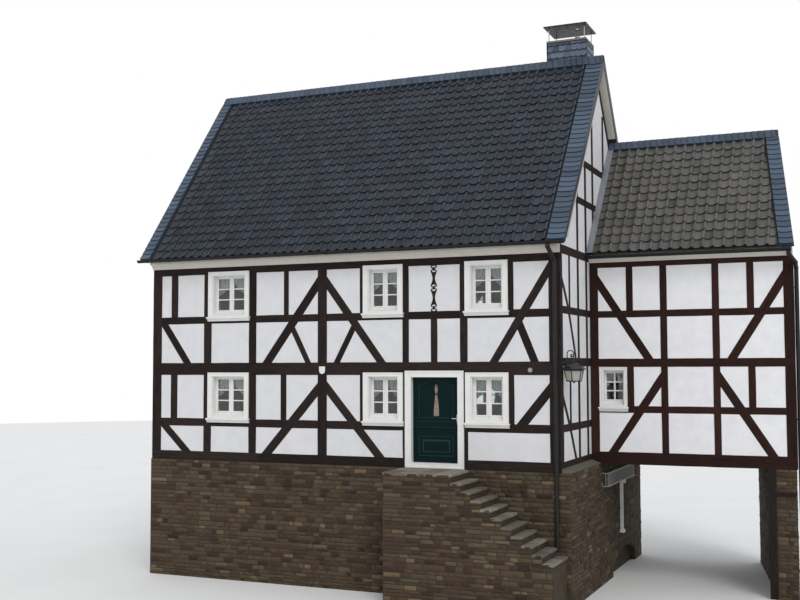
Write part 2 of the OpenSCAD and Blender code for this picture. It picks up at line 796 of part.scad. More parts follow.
// Straps and barrels on the leaf
module door_hinges() color(metal_colour) for (z = hinge_z) difference() {
    union() {
        slab(leaf_x0 + 4, leaf_x0 + 520, leaf_back, leaf_back + 6, z + 12, z + hinge_h - 12);
        slab(pin_x, leaf_x0 + 8, pin_y - 4, pin_y + 4, z + 12, z + hinge_h - 12);
        slab(leaf_x0 + 4, leaf_x0 + 12, leaf_back, pin_y + 4, z + 12, z + hinge_h - 12);
        translate([pin_x, pin_y, z + 0.3]) cylinder(r = barrel_r, h = hinge_h - 0.3);
    }
    translate([pin_x, pin_y, z - 1]) cylinder(r = pin_r + pin_play, h = hinge_h + 2);
}

// Leaf with a sunk panel under a waved arch, two mouldings across its middle and a fielded
// panel below
door_mid = (leaf_x0 + leaf_x1) / 2;
panel_half = 423;
panel_sunk = 14;
panel_z = [1040, 1817];
panel_rise = 100;
low_panel_z = [150, 600];
low_field = 70;
rail_moulds = [810, 925];
mould_out = 14;
function arch_z(x) = leaf_z0 + panel_z[1]
    + panel_rise * (1 + cos(180 * abs(x) / panel_half)) / 2 - 20 * abs(sin(360 * x / panel_half));
module front_door() color(door_colour) union() {
    difference() {
        slab(leaf_x0, leaf_x1, leaf_y, leaf_back, leaf_z0, leaf_z1);
        along_x(leaf_y - 1, leaf_y + panel_sunk) polygon(concat(
            [[door_mid - panel_half, leaf_z0 + panel_z[0]], [door_mid + panel_half, leaf_z0 + panel_z[0]]],
            [for (k = [8:-1:-8]) [door_mid + panel_half * k / 8, arch_z(panel_half * k / 8)]]));
        along_x(leaf_y - 1, leaf_y + panel_sunk)
            bar(door_mid - panel_half, door_mid + panel_half, leaf_z0 + low_panel_z[0],
                leaf_z0 + low_panel_z[1]);
    }
    along_x(leaf_y + 2, leaf_y + panel_sunk)
        bar(door_mid - panel_half, door_mid + panel_half, leaf_z0 + low_panel_z[0],
            leaf_z0 + low_panel_z[1], -low_field);
    for (z = rail_moulds) along_x(leaf_y - mould_out, leaf_y)
        bar(door_mid - panel_half - 40, door_mid + panel_half + 40, leaf_z0 + z, leaf_z0 + z + 28);
}

// Turned half pendant on the upper panel
pendant_z = leaf_z0 + 1077;
module door_ornament() color([0.72, 0.6, 0.44]) intersection() {
    translate([door_mid, leaf_y + panel_sunk, pendant_z]) rotate_extrude() polygon([[0, 0], [10, 0],
        [16, 12], [34, 40], [62, 90], [70, 150], [64, 210], [44, 300], [26, 420], [17, 520], [15, 545],
        [34, 560], [40, 600], [37, 650], [24, 700], [10, 740], [0, 750]]);
    slab(door_mid - 100, door_mid + 100, 0, leaf_y + panel_sunk, 0, big);
}

// Lever handle and plate near the leaf's free edge
module door_handle() color("silver") {
    x = leaf_x1 - 65;
    z = leaf_z0 + 1000;
    union() {
        slab(x - 22, x + 22, leaf_y - 6, leaf_y, z - 110, z + 110);
        translate([x, leaf_y - 50, z + 30]) rotate([-90, 0, 0]) cylinder(r = 9, h = 46);
        slab(x - 125, x + 9, leaf_y - 58, leaf_y - 44, z + 21, z + 39);
    }
}

// Cross-section of one side of the main roof, from the eaves to the ridge, and its heel
// on the attic floor, which stays between the gable walls
module roof_section() polygon([[-eaves_out, z_eaves], [0, z_eaves],
    [0, roof_under(0)], [half_d, roof_under(half_d)], [half_d, z_ridge],
    [-eaves_out, roof_top(-eaves_out)]]);
module roof_heel() polygon([[0, z_eaves], [heel_w, z_eaves],
    [heel_w, roof_under(heel_w) + heel_lap], [0, roof_under(0) + heel_lap]]);
module roof_side() {
    along_y(roof_x0, roof_x1) roof_section();
    along_y(-house_w + inner + fit, -inner - fit) roof_heel();
}

// Band lying on the slope between two depths, from height a to height b above it
module slope_band(y0, y1, a, b) polygon([[y0, roof_top(y0) + a], [y1, roof_top(y1) + a],
    [y1, roof_top(y1) + b], [y0, roof_top(y0) + b]]);

roof_x0 = -house_w - verge_out;
roof_x1 = verge_out;
chimney_x0 = -chimney_x - chimney_w;
chimney_x1 = -chimney_x;
chimney_y0 = half_d + chimney_back;
chimney_y1 = chimney_y0 + chimney_d;

// Room that the wing's roof needs behind the end of the back verge
module wing_roof_room() slab(0, big, verge_end, big, 0, big);

// Room for the chimney shaft
module chimney_room() slab(chimney_x0 - fit, chimney_x1 + fit, chimney_y0 - fit, chimney_y1 + fit,
    0, big);

module roof_front() color(tile_colour) union() roof_side();
module roof_back() color(tile_colour) difference() {
    to_back() roof_side();
    wing_roof_room();
    chimney_room();
}

slate_v = slate_t / cos(roof_pitch);
fit_v = fit / cos(roof_pitch);
module verge_strip() slope_band(-eaves_out, half_d - ridge_w - fit, fit_v, fit_v + slate_v);
module ridge_cap() polygon([[half_d - ridge_w, roof_top(half_d - ridge_w) + fit_v],
    [half_d, z_ridge + fit_v], [half_d + ridge_w, roof_top(half_d - ridge_w) + fit_v],
    [half_d + ridge_w, roof_top(half_d - ridge_w) + fit_v + slate_v],
    [half_d, z_ridge + fit_v + slate_v],
    [half_d - ridge_w, roof_top(half_d - ridge_w) + fit_v + slate_v]]);

// The same strips on the wing's roof
wing_slate_v = slate_t / cos(wing_pitch);
wing_fit_v = fit / cos(wing_pitch);
module wing_band(d0, d1, a, b) polygon([[d0, wing_top(d0) + a], [d1, wing_top(d1) + a],
    [d1, wing_top(d1) + b], [d0, wing_top(d0) + b]]);
wing_strip_w = 320;
module wing_end_strip(inset, w) translate([0, 0, -1]) linear_extrude(big)
    polygon([for (p = [[w, 0], [0, 0], [0, house_d + 2000], [w, house_d + 2000]])
        [end_x(p[1]) - inset - p[0], p[1]]]);

module ridge_slates() color(slate_colour) {
    difference() {
        along_y(roof_x0, roof_x1) ridge_cap();
        chimney_room();
    }
    intersection() {
        to_wing() along_y(0, wing_w + 100) polygon([[wing_half - ridge_w,
            wing_top(wing_half - ridge_w) + wing_fit_v], [wing_half, wing_top(wing_half) + wing_fit_v],
            [wing_half + ridge_w, wing_top(wing_half - ridge_w) + wing_fit_v],
            [wing_half + ridge_w, wing_top(wing_half - ridge_w) + wing_fit_v + wing_slate_v],
            [wing_half, wing_top(wing_half) + wing_fit_v + wing_slate_v],
            [wing_half - ridge_w, wing_top(wing_half - ridge_w) + wing_fit_v + wing_slate_v]]);
        wing_end_strip(0, big);
    }
}

module verge_slates() color(slate_colour) {
    for (x = [roof_x0, roof_x1 - verge_w]) {
        along_y(x, x + verge_w) verge_strip();
        difference() {
            to_back() along_y(x, x + verge_w) verge_strip();
            wing_roof_room();
        }
    }
    for (side = [0, 1]) intersection() {
        if (side == 0) to_wing() along_y(0, wing_w + 100)
            wing_band(-wing_eaves, wing_half - ridge_w - fit, wing_fit_v, wing_fit_v + wing_slate_v);
        else to_back() along_y(0, wing_w + 100)
            wing_band(-wing_eaves, wing_half - ridge_w - fit, wing_fit_v, wing_fit_v + wing_slate_v);
        wing_end_strip(0, wing_strip_w);
    }
}

// White boards under the roof where it stands out beyond the gables
soffit_t = 25;
module verge_soffits() color(white_paint) {
    for (x = [[-house_w - verge_out + 10, -house_w], [0, verge_out - 10]]) {
        along_y(x[0], x[1]) slope_band(0, half_d, -roof_v - fit_v - soffit_t, -roof_v - fit_v);
        difference() {
            to_back() along_y(x[0], x[1])
                slope_band(0, half_d - fit, -roof_v - fit_v - soffit_t, -roof_v - fit_v);
            wing_roof_room();
        }
    }
}

// Moulded cornice under the eaves, standing out from the face at depth zero
module cornice(x0, x1, z0, z1) along_y(x0, x1) polygon([[0, z0], [-30, z0], [-45, z0 + 25],
    [-cornice_out * 0.5, z0 + (z1 - z0) * 0.45], [-cornice_out * 0.85, z0 + (z1 - z0) * 0.62],
    [-cornice_out, z0 + (z1 - z0) * 0.7], [-cornice_out, z1], [0, z1]]);
module cornices() color(white_paint) {
    cornice(-house_w, 0, z_attic, z_eaves);
    to_back() cornice(-house_w, 0, z_attic, z_eaves);
    to_wing() cornice(0, wing_w, wz_attic, wz_eaves);
    to_back() cornice(fit, wing_back_w, wz_attic, wz_eaves);
}

// Half round gutter hung at an eaves edge
module gutter(x0, x1, out, z, r) translate([x0, -out - r, z]) difference() {
    rotate([0, 90, 0]) cylinder(r = r, h = x1 - x0);
    translate([gutter_t, 0, 0]) rotate([0, 90, 0])
        cylinder(r = r - gutter_t, h = x1 - x0 - 2 * gutter_t);
    translate([-1, -r - 1, 0]) cube([x1 - x0 + 2, 2 * r + 2, r + 1]);
}
gutter_z = z_eaves + eaves_edge - 25;
wing_gutter_z = wz_eaves - 35;

// Wing gutter with the brackets that hang it under the edge of the roof
bracket_w = 30;
bracket_count = 5;
bracket_end = 150;
module wing_gutter(x0, x1) {
    reach = x1 - x0 - 2 * bracket_end - bracket_w;
    union() {
        gutter(x0, x1, wing_eaves, wing_gutter_z, wing_gutter_r);
        for (k = [0:bracket_count - 1]) {
            x = x0 + bracket_end + k * reach / (bracket_count - 1);
            slab(x, x + bracket_w, -wing_eaves - gutter_t + 1, -wing_eaves + bracket_w,
                wing_gutter_z - bracket_w, wz_eaves - seat);
        }
    }
}
module gutters() color(metal_colour) {
    gutter(roof_x0, roof_x1, eaves_out, gutter_z, gutter_r);
    to_back() gutter(roof_x0, -fit, eaves_out, gutter_z, gutter_r);
    to_wing() wing_gutter(0, wing_w);
    to_back() wing_gutter(fit, wing_back_w);
}

// Round bar between two points, with a ball of radius k at each end
module rod(a, b, r, k) {
    d = b - a;
    translate(a) rotate([0, acos(d[2] / norm(d)), atan2(d[1], d[0])]) cylinder(r = r, h = norm(d));
    translate(a) sphere(r = k);
    translate(b) sphere(r = k);
}

// Downpipe from its gutter through a list of bends and down, with clips on the wall
pipe_off = 80;
pipe_neck = 60;
pipe_drop = 420;
pipe_bend = 6;
clip_w = 30;
clip_ends = [500, 900];
function clip_levels(foot, top) = [foot + clip_ends[0], (foot + top) / 2, top - clip_ends[1]];
module pipe_run(p, foot) {
    last = p[len(p) - 1];
    translate(p[0]) cylinder(r = pipe_r, h = pipe_neck);
    for (k = [1:len(p) - 1]) rod(p[k - 1], p[k], pipe_r, pipe_r + pipe_bend);
    translate([last[0], last[1], foot]) cylinder(r = pipe_r, h = last[2] - foot);
}
module downpipe(x, dx, out, top, foot) union() {
    pipe_run([[x + dx, -out - gutter_r, top - gutter_r - seat - pipe_neck],
        [x, -pipe_off, top - pipe_drop]], foot);
    for (z = clip_levels(foot, top)) slab(x - clip_w / 2, x + clip_w / 2, -pipe_off,
        z < base_h ? -base_out_front : 0, z, z + clip_w);
}

// The wing's pipe turns round the corner and runs down on its end
end_pipe = [wing_w + 62, wing_y + 110];
end_pipe_foot = 150;
module end_downpipe() union() {
    top = wing_gutter_z - wing_gutter_r - seat - pipe_neck;
    pipe_run([[wing_w - 60, wing_y - wing_eaves - wing_gutter_r, top],
        [end_pipe[0], wing_y - 120, top - 180], [end_pipe[0], end_pipe[1], top - 290]], end_pipe_foot);
    for (z = clip_levels(end_pipe_foot, wing_gutter_z)) slab(z < base_h ? wing_w - pier_in : wing_w,
        end_pipe[0], end_pipe[1] - clip_w / 2, end_pipe[1] + clip_w / 2, z, z + clip_w);
}
module downpipes() color(metal_colour) {
    downpipe(-110, -60, eaves_out, gutter_z, 1340);
    to_back() downpipe(-house_w + 110, 60, eaves_out, gutter_z, 150);
    end_downpipe();
}

// Chimney
chimney_top = z_ridge + chimney_h;
chimney_mid = (chimney_y0 + chimney_y1) / 2;
cover_out = 15;
flue_w = 120;
flue_off = 195;
flue_foot = z_eaves + 300;
module chimney_shaft() color(slate_colour) difference() {
    union() {
        slab(chimney_x0, chimney_x1, chimney_y0, chimney_y1, z_eaves, chimney_top - chimney_slab);
        slab(chimney_x0 - cover_out, chimney_x1 + cover_out, chimney_y0 - cover_out,
            chimney_y1 + cover_out, chimney_top - chimney_slab, chimney_top);
    }
    for (s = [-1, 1]) {
        x = (chimney_x0 + chimney_x1) / 2 + s * flue_off;
        slab(x - flue_w / 2, x + flue_w / 2, chimney_mid - flue_w / 2, chimney_mid + flue_w / 2,
            flue_foot, big);
    }
}
// Plate on thin legs over the shaft, with a round hole above a small pot; it stands out
// further at the back and less at the right
cowl_plate = 30;
cowl_leg = 12;
leg_in = 40;
cowl_back = 170;
cowl_right = 38;
cowl_hole = 70;
pot_r = 66;
pot_wall = 6;
pot_h = 170;
pot_foot = 12;
module chimney_cowl() color(metal_colour) {
    pot_x = (chimney_x0 + chimney_x1) / 2 + flue_off;
    z_plate_low = chimney_top + cowl_gap;
    difference() {
        union() {
            slab(chimney_x0 - cowl_out, chimney_x1 + cowl_right, chimney_y0 - cowl_out,
                chimney_y1 + cowl_back, z_plate_low, z_plate_low + cowl_plate);
            for (x = [chimney_x0 + leg_in, chimney_x1 - leg_in],
                y = [chimney_y0 + leg_in, chimney_y1 - leg_in])
                translate([x, y, chimney_top]) cylinder(r = cowl_leg, h = cowl_gap + 1);
        }
        translate([pot_x, chimney_mid, z_plate_low - 1]) cylinder(r = cowl_hole, h = cowl_plate + 2);
    }
    difference() {
        union() {
            slab(pot_x - flue_w, pot_x + flue_w, chimney_mid - flue_w, chimney_mid + flue_w,
                chimney_top, chimney_top + pot_foot);
            translate([pot_x, chimney_mid, chimney_top]) cylinder(r = pot_r, h = pot_h);
        }
        translate([pot_x, chimney_mid, chimney_top - 1]) cylinder(r = pot_r - pot_wall, h = pot_h + 2);
    }
}

// Wing
module wing_members(w, g = 0) {
    bar(0, w, z_sill, z_sill + wing_sill_h, g);
    bar(0, w, wz_low, wz_low + wing_rail_h, g);
    bar(0, w, wz_mid, wz_mid + wing_mid_h, g);
    bar(0, w, wz_up, wz_up + wing_rail_h, g);
    bar(0, w, wz_plate, wz_attic, g);
    bar(0, wing_corner_w, z_sill, wz_attic, g);
    bar(w - wing_end_post, w, z_sill, wz_attic, g);
    for (x = [wing_post_b, wing_post_c]) bar(x, x + wing_post_w, z_sill, wz_attic, g);
    end = w - wing_end_post;
    for (x = [wing_half_a, wing_half_d]) if (x + wing_post_w < end) {
        bar(x, x + wing_post_w, wz_up, wz_attic, g);
        bar(x, x + wing_post_w, wz_low, wz_mid + 1, g);
    }
    up = [wz_mid + wing_mid_h - wing_lap, wz_plate + wing_lap];
    low = [z_sill + wing_sill_h - lap, wz_mid + wing_lap];
    right_post = wing_post_c + wing_post_w;
    module wing_brace(foot_x, head_x, z, bay)
        bay_brace([foot_x, z[0]], [head_x, z[1]], brace_w, bay, z[0], g);
    wing_brace(wing_brace_a[0], wing_brace_a[1], up, [wing_corner_w / 2, wing_post_b]);
    wing_brace(right_post + wing_brace_b[0], end + wing_brace_b[1], up,
        [right_post, w - wing_end_post / 2]);
    wing_brace(wing_brace_c[0], wing_brace_c[1], low, [0, wing_post_b + wing_post_w / 2]);
    wing_brace(end + wing_brace_d[0], wing_post_c + wing_brace_d[1], low,
        [wing_post_c + wing_post_w / 2, end]);
}
module wing_hole() bar(wing_casing[0] + wing_trim[4], wing_casing[0] + wing_casing[1] - wing_trim[4],
    wing_window_z + casing_foot, wing_window_z + wing_window_h - wing_trim[5]);
module wing_frame(w) color(timber_colour) along_x(0, timber_t) difference() {
    intersection() {
        wing_members(w);
        bar(0, w, z_sill, wz_attic);
    }
    wing_hole();
}
module wing_infill(w) color(plaster_colour) union() {
    along_x(recess, timber_t) difference() {
        bar(0, w, z_sill, wz_attic);
        wing_members(w, joint);
        wing_hole();
    }
    along_x(timber_t, inner) difference() {
        bar(0, w - 300, z_sill + wing_sill_h, wz_attic);
        wing_hole();
    }
}
module wing_front_frame() to_wing() wing_frame(wing_w);
module wing_front_infill() to_wing() wing_infill(wing_w);
module wing_back_frame() to_back() wing_frame(wing_back_w);
module wing_back_infill() to_back() wing_infill(wing_back_w);

// Boards on joists over the driveway
joist_w = 160;
joist_count = 5;
module wing_floor() color(timber_colour) {
    y0 = wing_y + timber_t;
    y1 = house_d - timber_t;
    reach = wing_back_w - end_t - joist_w - 80;
    union() {
        translate([0, 0, z_sill + wing_sill_h - 60]) linear_extrude(60) wing_plan(y0, y1, end_t + fit);
        for (k = [0:joist_count - 1])
            slab(40 + k * reach / (joist_count - 1), 40 + joist_w + k * reach / (joist_count - 1),
                y0, y1, z_sill + 20, z_sill + wing_sill_h - 60);
    }
}

// Plain end wall of the wing, with its gable
module wing_end_wall() color(plaster_colour) {
    intersection() {
        slab(0, big, wing_y + timber_t, house_d - timber_t, base_h, wz_attic);
        wing_end_strip(0, end_t);
    }
    intersection() {
        to_wing() along_y(0, wing_w) polygon([[heel_w + fit, wz_eaves],
            [house_d - wing_y - heel_w - fit, wz_eaves],
            [house_d - wing_y - heel_w - fit, wing_under(heel_w) - fit],
            [wing_half, wing_under(wing_half) - 2 * fit], [heel_w + fit, wing_under(heel_w) - fit]]);
        wing_end_strip(0, end_t);
    }
}

// Timber post and rail of the pier under the wing, and the masonry behind
pier_rail_z = base_h - 620;
pier_rail_h = 90;
pier_in = 40;
pier_back = 15;
module wing_pier_frame() color(timber_colour) to_wing() along_x(0, timber_t) {
    bar(pier_x, pier_x + pier_post_w, 0, base_h);
    bar(pier_x, wing_w - pier_in, pier_rail_z, pier_rail_z + pier_rail_h);
}
module wing_pier_masonry() color(stone_colour) union() {
    to_wing() for (z = [[0, pier_rail_z], [pier_rail_z + pier_rail_h, base_h]])
        slab(pier_x + pier_post_w, wing_w - pier_in, pier_back, timber_t, z[0], z[1]);
    intersection() {
        slab(0, big, wing_y + timber_t, house_d, 0, base_h);
        wing_end_strip(0, pier_wall_t);
    }
}

module wing_roof_section() polygon([[-wing_eaves, wz_eaves], [heel_w, wz_eaves],
    [heel_w, wing_under(heel_w)], [wing_half, wing_under(wing_half)],
    [wing_half, wing_top(wing_half)], [-wing_eaves, wing_top(-wing_eaves)]]);
module wing_roof_front() color(tile_colour) intersection() {
    to_wing() along_y(0, wing_w + 100) wing_roof_section();
    wing_end_strip(0, big);
}
module wing_roof_back() color(tile_colour) intersection() {
    to_back() along_y(0, wing_w + 100) wing_roof_section();
    wing_end_strip(0, big);
}

// Lead flashing where the wing's roof meets the gable
module wing_flashing() color("dimgray") to_wing() along_y(0, 150)
    wing_band(-wing_eaves, wing_half - ridge_w - fit, wing_fit_v, wing_fit_v + 25);

// Six sided body between flat sides, from a list of half widths and heights, lowest first
module six_side(p, a) rotate([0, 0, a]) translate([0, big / 2, 0]) rotate([90, 0, 0])
    linear_extrude(big) polygon(concat(p, [for (k = [len(p) - 1:-1:0]) [-p[k][0], p[k][1]]]));
module six_sided(p) intersection() {
    six_side(p, 0);
    six_side(p, 60);
    six_side(p, 120);
}

// Bent round bar in an upright plane, about a centre, from one angle to another
module bent_bar(c, bend, a, b, r) translate([c[0], 0, c[1]]) rotate([90, 0, 0]) rotate([0, 0, a])
    rotate_extrude(angle = b - a) translate([bend, 0]) circle(r = r);

// Lantern under a swan neck at the right face of the corner post
neck_r = 11;
hook_r = 78;
lamp_z = [-273, -20];
lamp_half = [150, 200];
lamp_bar = 12;
lamp_floor = 14;
// Layers of the lamp's roof: half widths and heights of each at its foot and top
lamp_roof = [[[lamp_half[1] - 8, lamp_z[1]], [lantern_w / 2 - 3, 8]],
    [[lantern_w / 2, 7], [lantern_w / 2, 18]],
    [[lantern_w / 2 - 5, 17], [lantern_w * 0.36, 68]],
    [[lantern_w * 0.36 - 4, 67], [lantern_w * 0.17, 112]],
    [[lantern_w * 0.17 - 4, 111], [lantern_w * 0.11, 145]]];
module to_lantern() translate([0, timber_t / 2, base_h + lantern_z]) children();
module lamp_frustum(inset, z0, z1) {
    slope = (lamp_half[1] - lamp_half[0]) / (lamp_z[1] - lamp_z[0]);
    six_sided([for (z = [z0, z1]) [lamp_half[0] + slope * (z - lamp_z[0]) - inset, z]]);
}
module wall_lantern() color(metal_colour) to_lantern() union() {
    stem_x = lantern_reach - 2 * hook_r + 3;
    low_r = stem_x - 4;
    hook = [lantern_reach - hook_r + 3, 345];
    slab(0, 14, -35, 35, 50, 190);
    bent_bar([4, 102 + low_r], low_r, -90, 0, neck_r);
    rod([stem_x, 0, 102 + low_r], [stem_x, 0, hook[1]], neck_r, neck_r + 4);
    bent_bar(hook, hook_r, 180, 0, neck_r);
    rod([hook[0] + hook_r, 0, hook[1]], [lantern_reach, 0, 225], neck_r - 3, neck_r + 4);
    translate([lantern_reach, 0, 0]) {
        for (layer = lamp_roof) six_sided(layer);
        translate([0, 0, 140]) cylinder(r = 16, h = 80);
        translate([0, 0, 190]) sphere(r = 26);
        difference() {
            lamp_frustum(0, lamp_z[0], lamp_z[1] + 2);
            lamp_frustum(lamp_bar, lamp_z[0] + lamp_floor, lamp_z[1] + 3);
            for (a = [30, 90, 150]) rotate([0, 0, a]) translate([0, big / 2, 0]) rotate([90, 0, 0])
                linear_extrude(big) polygon([[-74, lamp_z[0] + 24], [74, lamp_z[0] + 24],
                    [102, lamp_z[1] - 14], [-102, lamp_z[1] - 14]]);
        }
        translate([0, 0, lamp_z[0] - 30]) cylinder(r = 24, h = 31);
    }
}
module lantern_glass() color([0.5, 0.58, 0.62]) to_lantern() translate([lantern_reach, 0, 0])
    difference() {
        lamp_frustum(lamp_bar + fit, lamp_z[0] + lamp_floor, lamp_z[1] - fit);
        lamp_frustum(lamp_bar + 5, lamp_z[0], lamp_z[1]);
    }

base_front_wall();
base_back_wall();
base_left_wall();
base_right_wall();
base_ledge();
base_grille();
base_strut();
entrance_steps();
ground_floor();
upper_floor();
attic_floor();
front_frame_upper();
front_frame_ground_left();
front_frame_ground_right();
front_infill_upper();
front_infill_ground_left();
front_infill_ground_right();
carved_post();
right_gable_frame();
right_gable_infill();
left_gable_frame();
left_gable_infill();
back_frame();
back_infill();
front_windows();
back_windows();
wing_windows();
window_glass();
door_frame();
door_pintles();
front_door();
door_hinges();
door_handle();
door_ornament();
roof_front();
roof_back();
ridge_slates();
verge_slates();
verge_soffits();
cornices();
gutters();
downpipes();
chimney_shaft();
chimney_cowl();
wing_floor();
wing_front_frame();
wing_front_infill();
wing_back_frame();
wing_back_infill();
wing_end_wall();
wing_pier_frame();
wing_pier_masonry();
wing_roof_front();
wing_roof_back();
wing_flashing();
wall_lantern();
lantern_glass();
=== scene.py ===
"""Looks of a half timbered house over a driveway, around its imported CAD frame, in metres."""

import math

import bpy
import numpy as np
from mathutils import Matrix, Vector
from mathutils.geometry import tessellate_polygon


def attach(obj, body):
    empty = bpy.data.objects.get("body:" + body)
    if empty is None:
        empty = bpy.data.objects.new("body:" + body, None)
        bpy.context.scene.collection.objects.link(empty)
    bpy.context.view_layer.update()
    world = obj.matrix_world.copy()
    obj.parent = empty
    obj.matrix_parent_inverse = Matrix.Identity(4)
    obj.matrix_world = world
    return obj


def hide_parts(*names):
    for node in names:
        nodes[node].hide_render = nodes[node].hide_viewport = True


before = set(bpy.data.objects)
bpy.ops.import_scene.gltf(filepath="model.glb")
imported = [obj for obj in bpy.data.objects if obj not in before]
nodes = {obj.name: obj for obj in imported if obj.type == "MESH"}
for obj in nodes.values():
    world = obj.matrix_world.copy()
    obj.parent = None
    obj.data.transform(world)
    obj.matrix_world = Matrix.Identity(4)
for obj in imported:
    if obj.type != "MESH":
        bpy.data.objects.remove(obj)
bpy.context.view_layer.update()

# Main sizes of the CAD
HOUSE_W, HOUSE_D = 11.0, 7.6
BASE_H, BASE_FRONT, BASE_RIGHT = 2.96, -0.03, 0.2
STONE_TOP = BASE_H - 0.004
TIMBER_T, RECESS = 0.18, 0.012
Z_SILL, SILL_H = BASE_H, 0.22
Z_RAIL_LOW, RAIL_LOW_H = 3.826, 0.193
Z_MID, MID_H = 5.135, 0.3
Z_RAIL_UP, RAIL_UP_H = 6.449, 0.178
Z_PLATE, Z_ATTIC, Z_EAVES = 7.715, 7.888, 8.08
PITCH, EAVES_OUT, EAVES_EDGE, VERGE_OUT = math.radians(51.5), 0.33, 0.06, 0.2
ROOF_T, VERGE_W, RIDGE_W = 0.2, 0.41, 0.19
WING_Y, WING_W, WING_TAPER = 2.76, 4.75, 0.87
WING_PITCH, WING_EAVES, WING_EDGE = math.radians(49.5), 0.31, 0.05
WZ_LOW, WZ_MID, WZ_UP, WZ_PLATE, WZ_ATTIC, WZ_EAVES = 4.2, 5.312, 6.515, 7.747, 7.871, 8.051
WING_SILL_H, WING_RAIL_H, WING_MID_H = 0.287, 0.163, 0.194
HALF_D = HOUSE_D / 2
WING_HALF = (HOUSE_D - WING_Y) / 2
WING_BACK_W = WING_W - WING_TAPER
WING_SKEW = WING_TAPER / (HOUSE_D - WING_Y)


def roof_top(y):
    return Z_EAVES + EAVES_EDGE + math.tan(PITCH) * (y + EAVES_OUT)


def wing_top(d):
    return WZ_EAVES + WING_EDGE + math.tan(WING_PITCH) * (d + WING_EAVES)


def end_x(y):
    return WING_W - WING_SKEW * (y - WING_Y)


# Camera, fitted to the photograph
YAW, CAM_PITCH, ROLL = math.radians(23.449), math.radians(3.424), math.radians(-0.164)


def add_camera():
    look = Vector((-math.sin(YAW) * math.cos(CAM_PITCH), math.cos(YAW) * math.cos(CAM_PITCH),
                   math.sin(CAM_PITCH)))
    side = Vector((math.cos(YAW), math.sin(YAW), 0))
    top = side.cross(look)
    right = math.cos(ROLL) * side + math.sin(ROLL) * top
    up = right.cross(look)
    data = bpy.data.cameras.new("camera")
    data.lens, data.sensor_width, data.clip_end = 49.53, 36, 500
    cam = bpy.data.objects.new("camera", data)
    bpy.context.collection.objects.link(cam)
    cam.matrix_world = Matrix.Translation((6.496, -24.0, 5.35)) @ Matrix(
        (right, up, -look)).transposed().to_4x4()
    bpy.context.scene.camera = cam


add_camera()


# Materials
def put(tree, node, key, value):
    """Gives a node's input a link or a value."""
    if isinstance(value, bpy.types.NodeSocket):
        tree.links.new(value, node.inputs[key])
    else:
        node.inputs[key].default_value = value


def add_node(tree, kind, inputs=None, **props):
    made = tree.nodes.new(kind)
    for key, value in props.items():
        setattr(made, key, value)
    for key, value in (inputs or {}).items():
        put(tree, made, key, value)
    return made


class Shader:
    """A material built one node at a time."""

    def __init__(self, name):
        self.mat = bpy.data.materials.new(name)
        self.mat.use_nodes = True
        self.tree = self.mat.node_tree
        self.tree.nodes.clear()
        self.bsdf = self.node("ShaderNodeBsdfPrincipled")
        self.node("ShaderNodeOutputMaterial", {0: self.bsdf.outputs[0]})
        self.coords = self.node("ShaderNodeTexCoord")

    def node(self, kind, inputs=None, **props):
        return add_node(self.tree, kind, inputs, **props)

    def stretched(self, scale=(1, 1, 1), source="Object"):
        return self.node("ShaderNodeMapping", {0: self.coords.outputs[source],
                                               "Scale": scale}).outputs[0]

    def noise(self, where, scale, detail=4, rough=0.55):
        return self.node("ShaderNodeTexNoise", {"Vector": where, "Scale": scale, "Detail": detail,
                                                "Roughness": rough}).outputs[0]

    def tone(self):
        return self.node("ShaderNodeAttribute", attribute_name="tone").outputs["Fac"]

    def ramp(self, value, *stops):
        ramp = self.node("ShaderNodeValToRGB", {0: value})
        band = ramp.color_ramp.elements
        while len(band) < len(stops):
            band.new(0.5)
        for spot, (at, colour) in zip(band, stops):
            spot.position, spot.color = at, (*colour, 1)
        return ramp.outputs[0]

    def grey(self, value, low, high, a=0.0, b=1.0):
        return self.ramp(value, (low, (a, a, a)), (high, (b, b, b)))

    def mix(self, share, a, b, kind="MIX"):
        made = self.node("ShaderNodeMix", data_type="RGBA", blend_type=kind)
        for key, value in ((0, share), (6, a), (7, b)):
            put(self.tree, made, key, (*value, 1) if isinstance(value, tuple) else value)
        return made.outputs[2]

    def times(self, colour, tint):
        return self.mix(1.0, colour, tint, "MULTIPLY")

    def over(self, colour, above, value, low, high, most=0.5):
        """One colour over another, up to a share, where a value goes from low to high."""
        return self.mix(self.grey(value, low, high, 0, most), colour, above)

    def maths(self, kind, a, b):
        return self.node("ShaderNodeMath", {0: a, 1: b}, operation=kind).outputs[0]

    def above(self, height):
        """1 above a height in the part's frame, and 0 below it."""
        level = self.node("ShaderNodeSeparateXYZ", {0: self.coords.outputs["Object"]}).outputs[2]
        return self.maths("GREATER_THAN", level, height)

    def bump(self, height, strength, distance, under=None):
        inputs = {"Height": height, "Strength": strength, "Distance": distance}
        if under is not None:
            inputs["Normal"] = under
        return self.node("ShaderNodeBump", inputs).outputs[0]

    def done(self, colour, rough, normal=None, shine=0.5, **more):
        inputs = {"Base Color": colour, "Roughness": rough, "Specular IOR Level": shine, **more}
        if normal is not None:
            inputs["Normal"] = normal
        for key, value in inputs.items():
            put(self.tree, self.bsdf, key, value)
        return self.mat


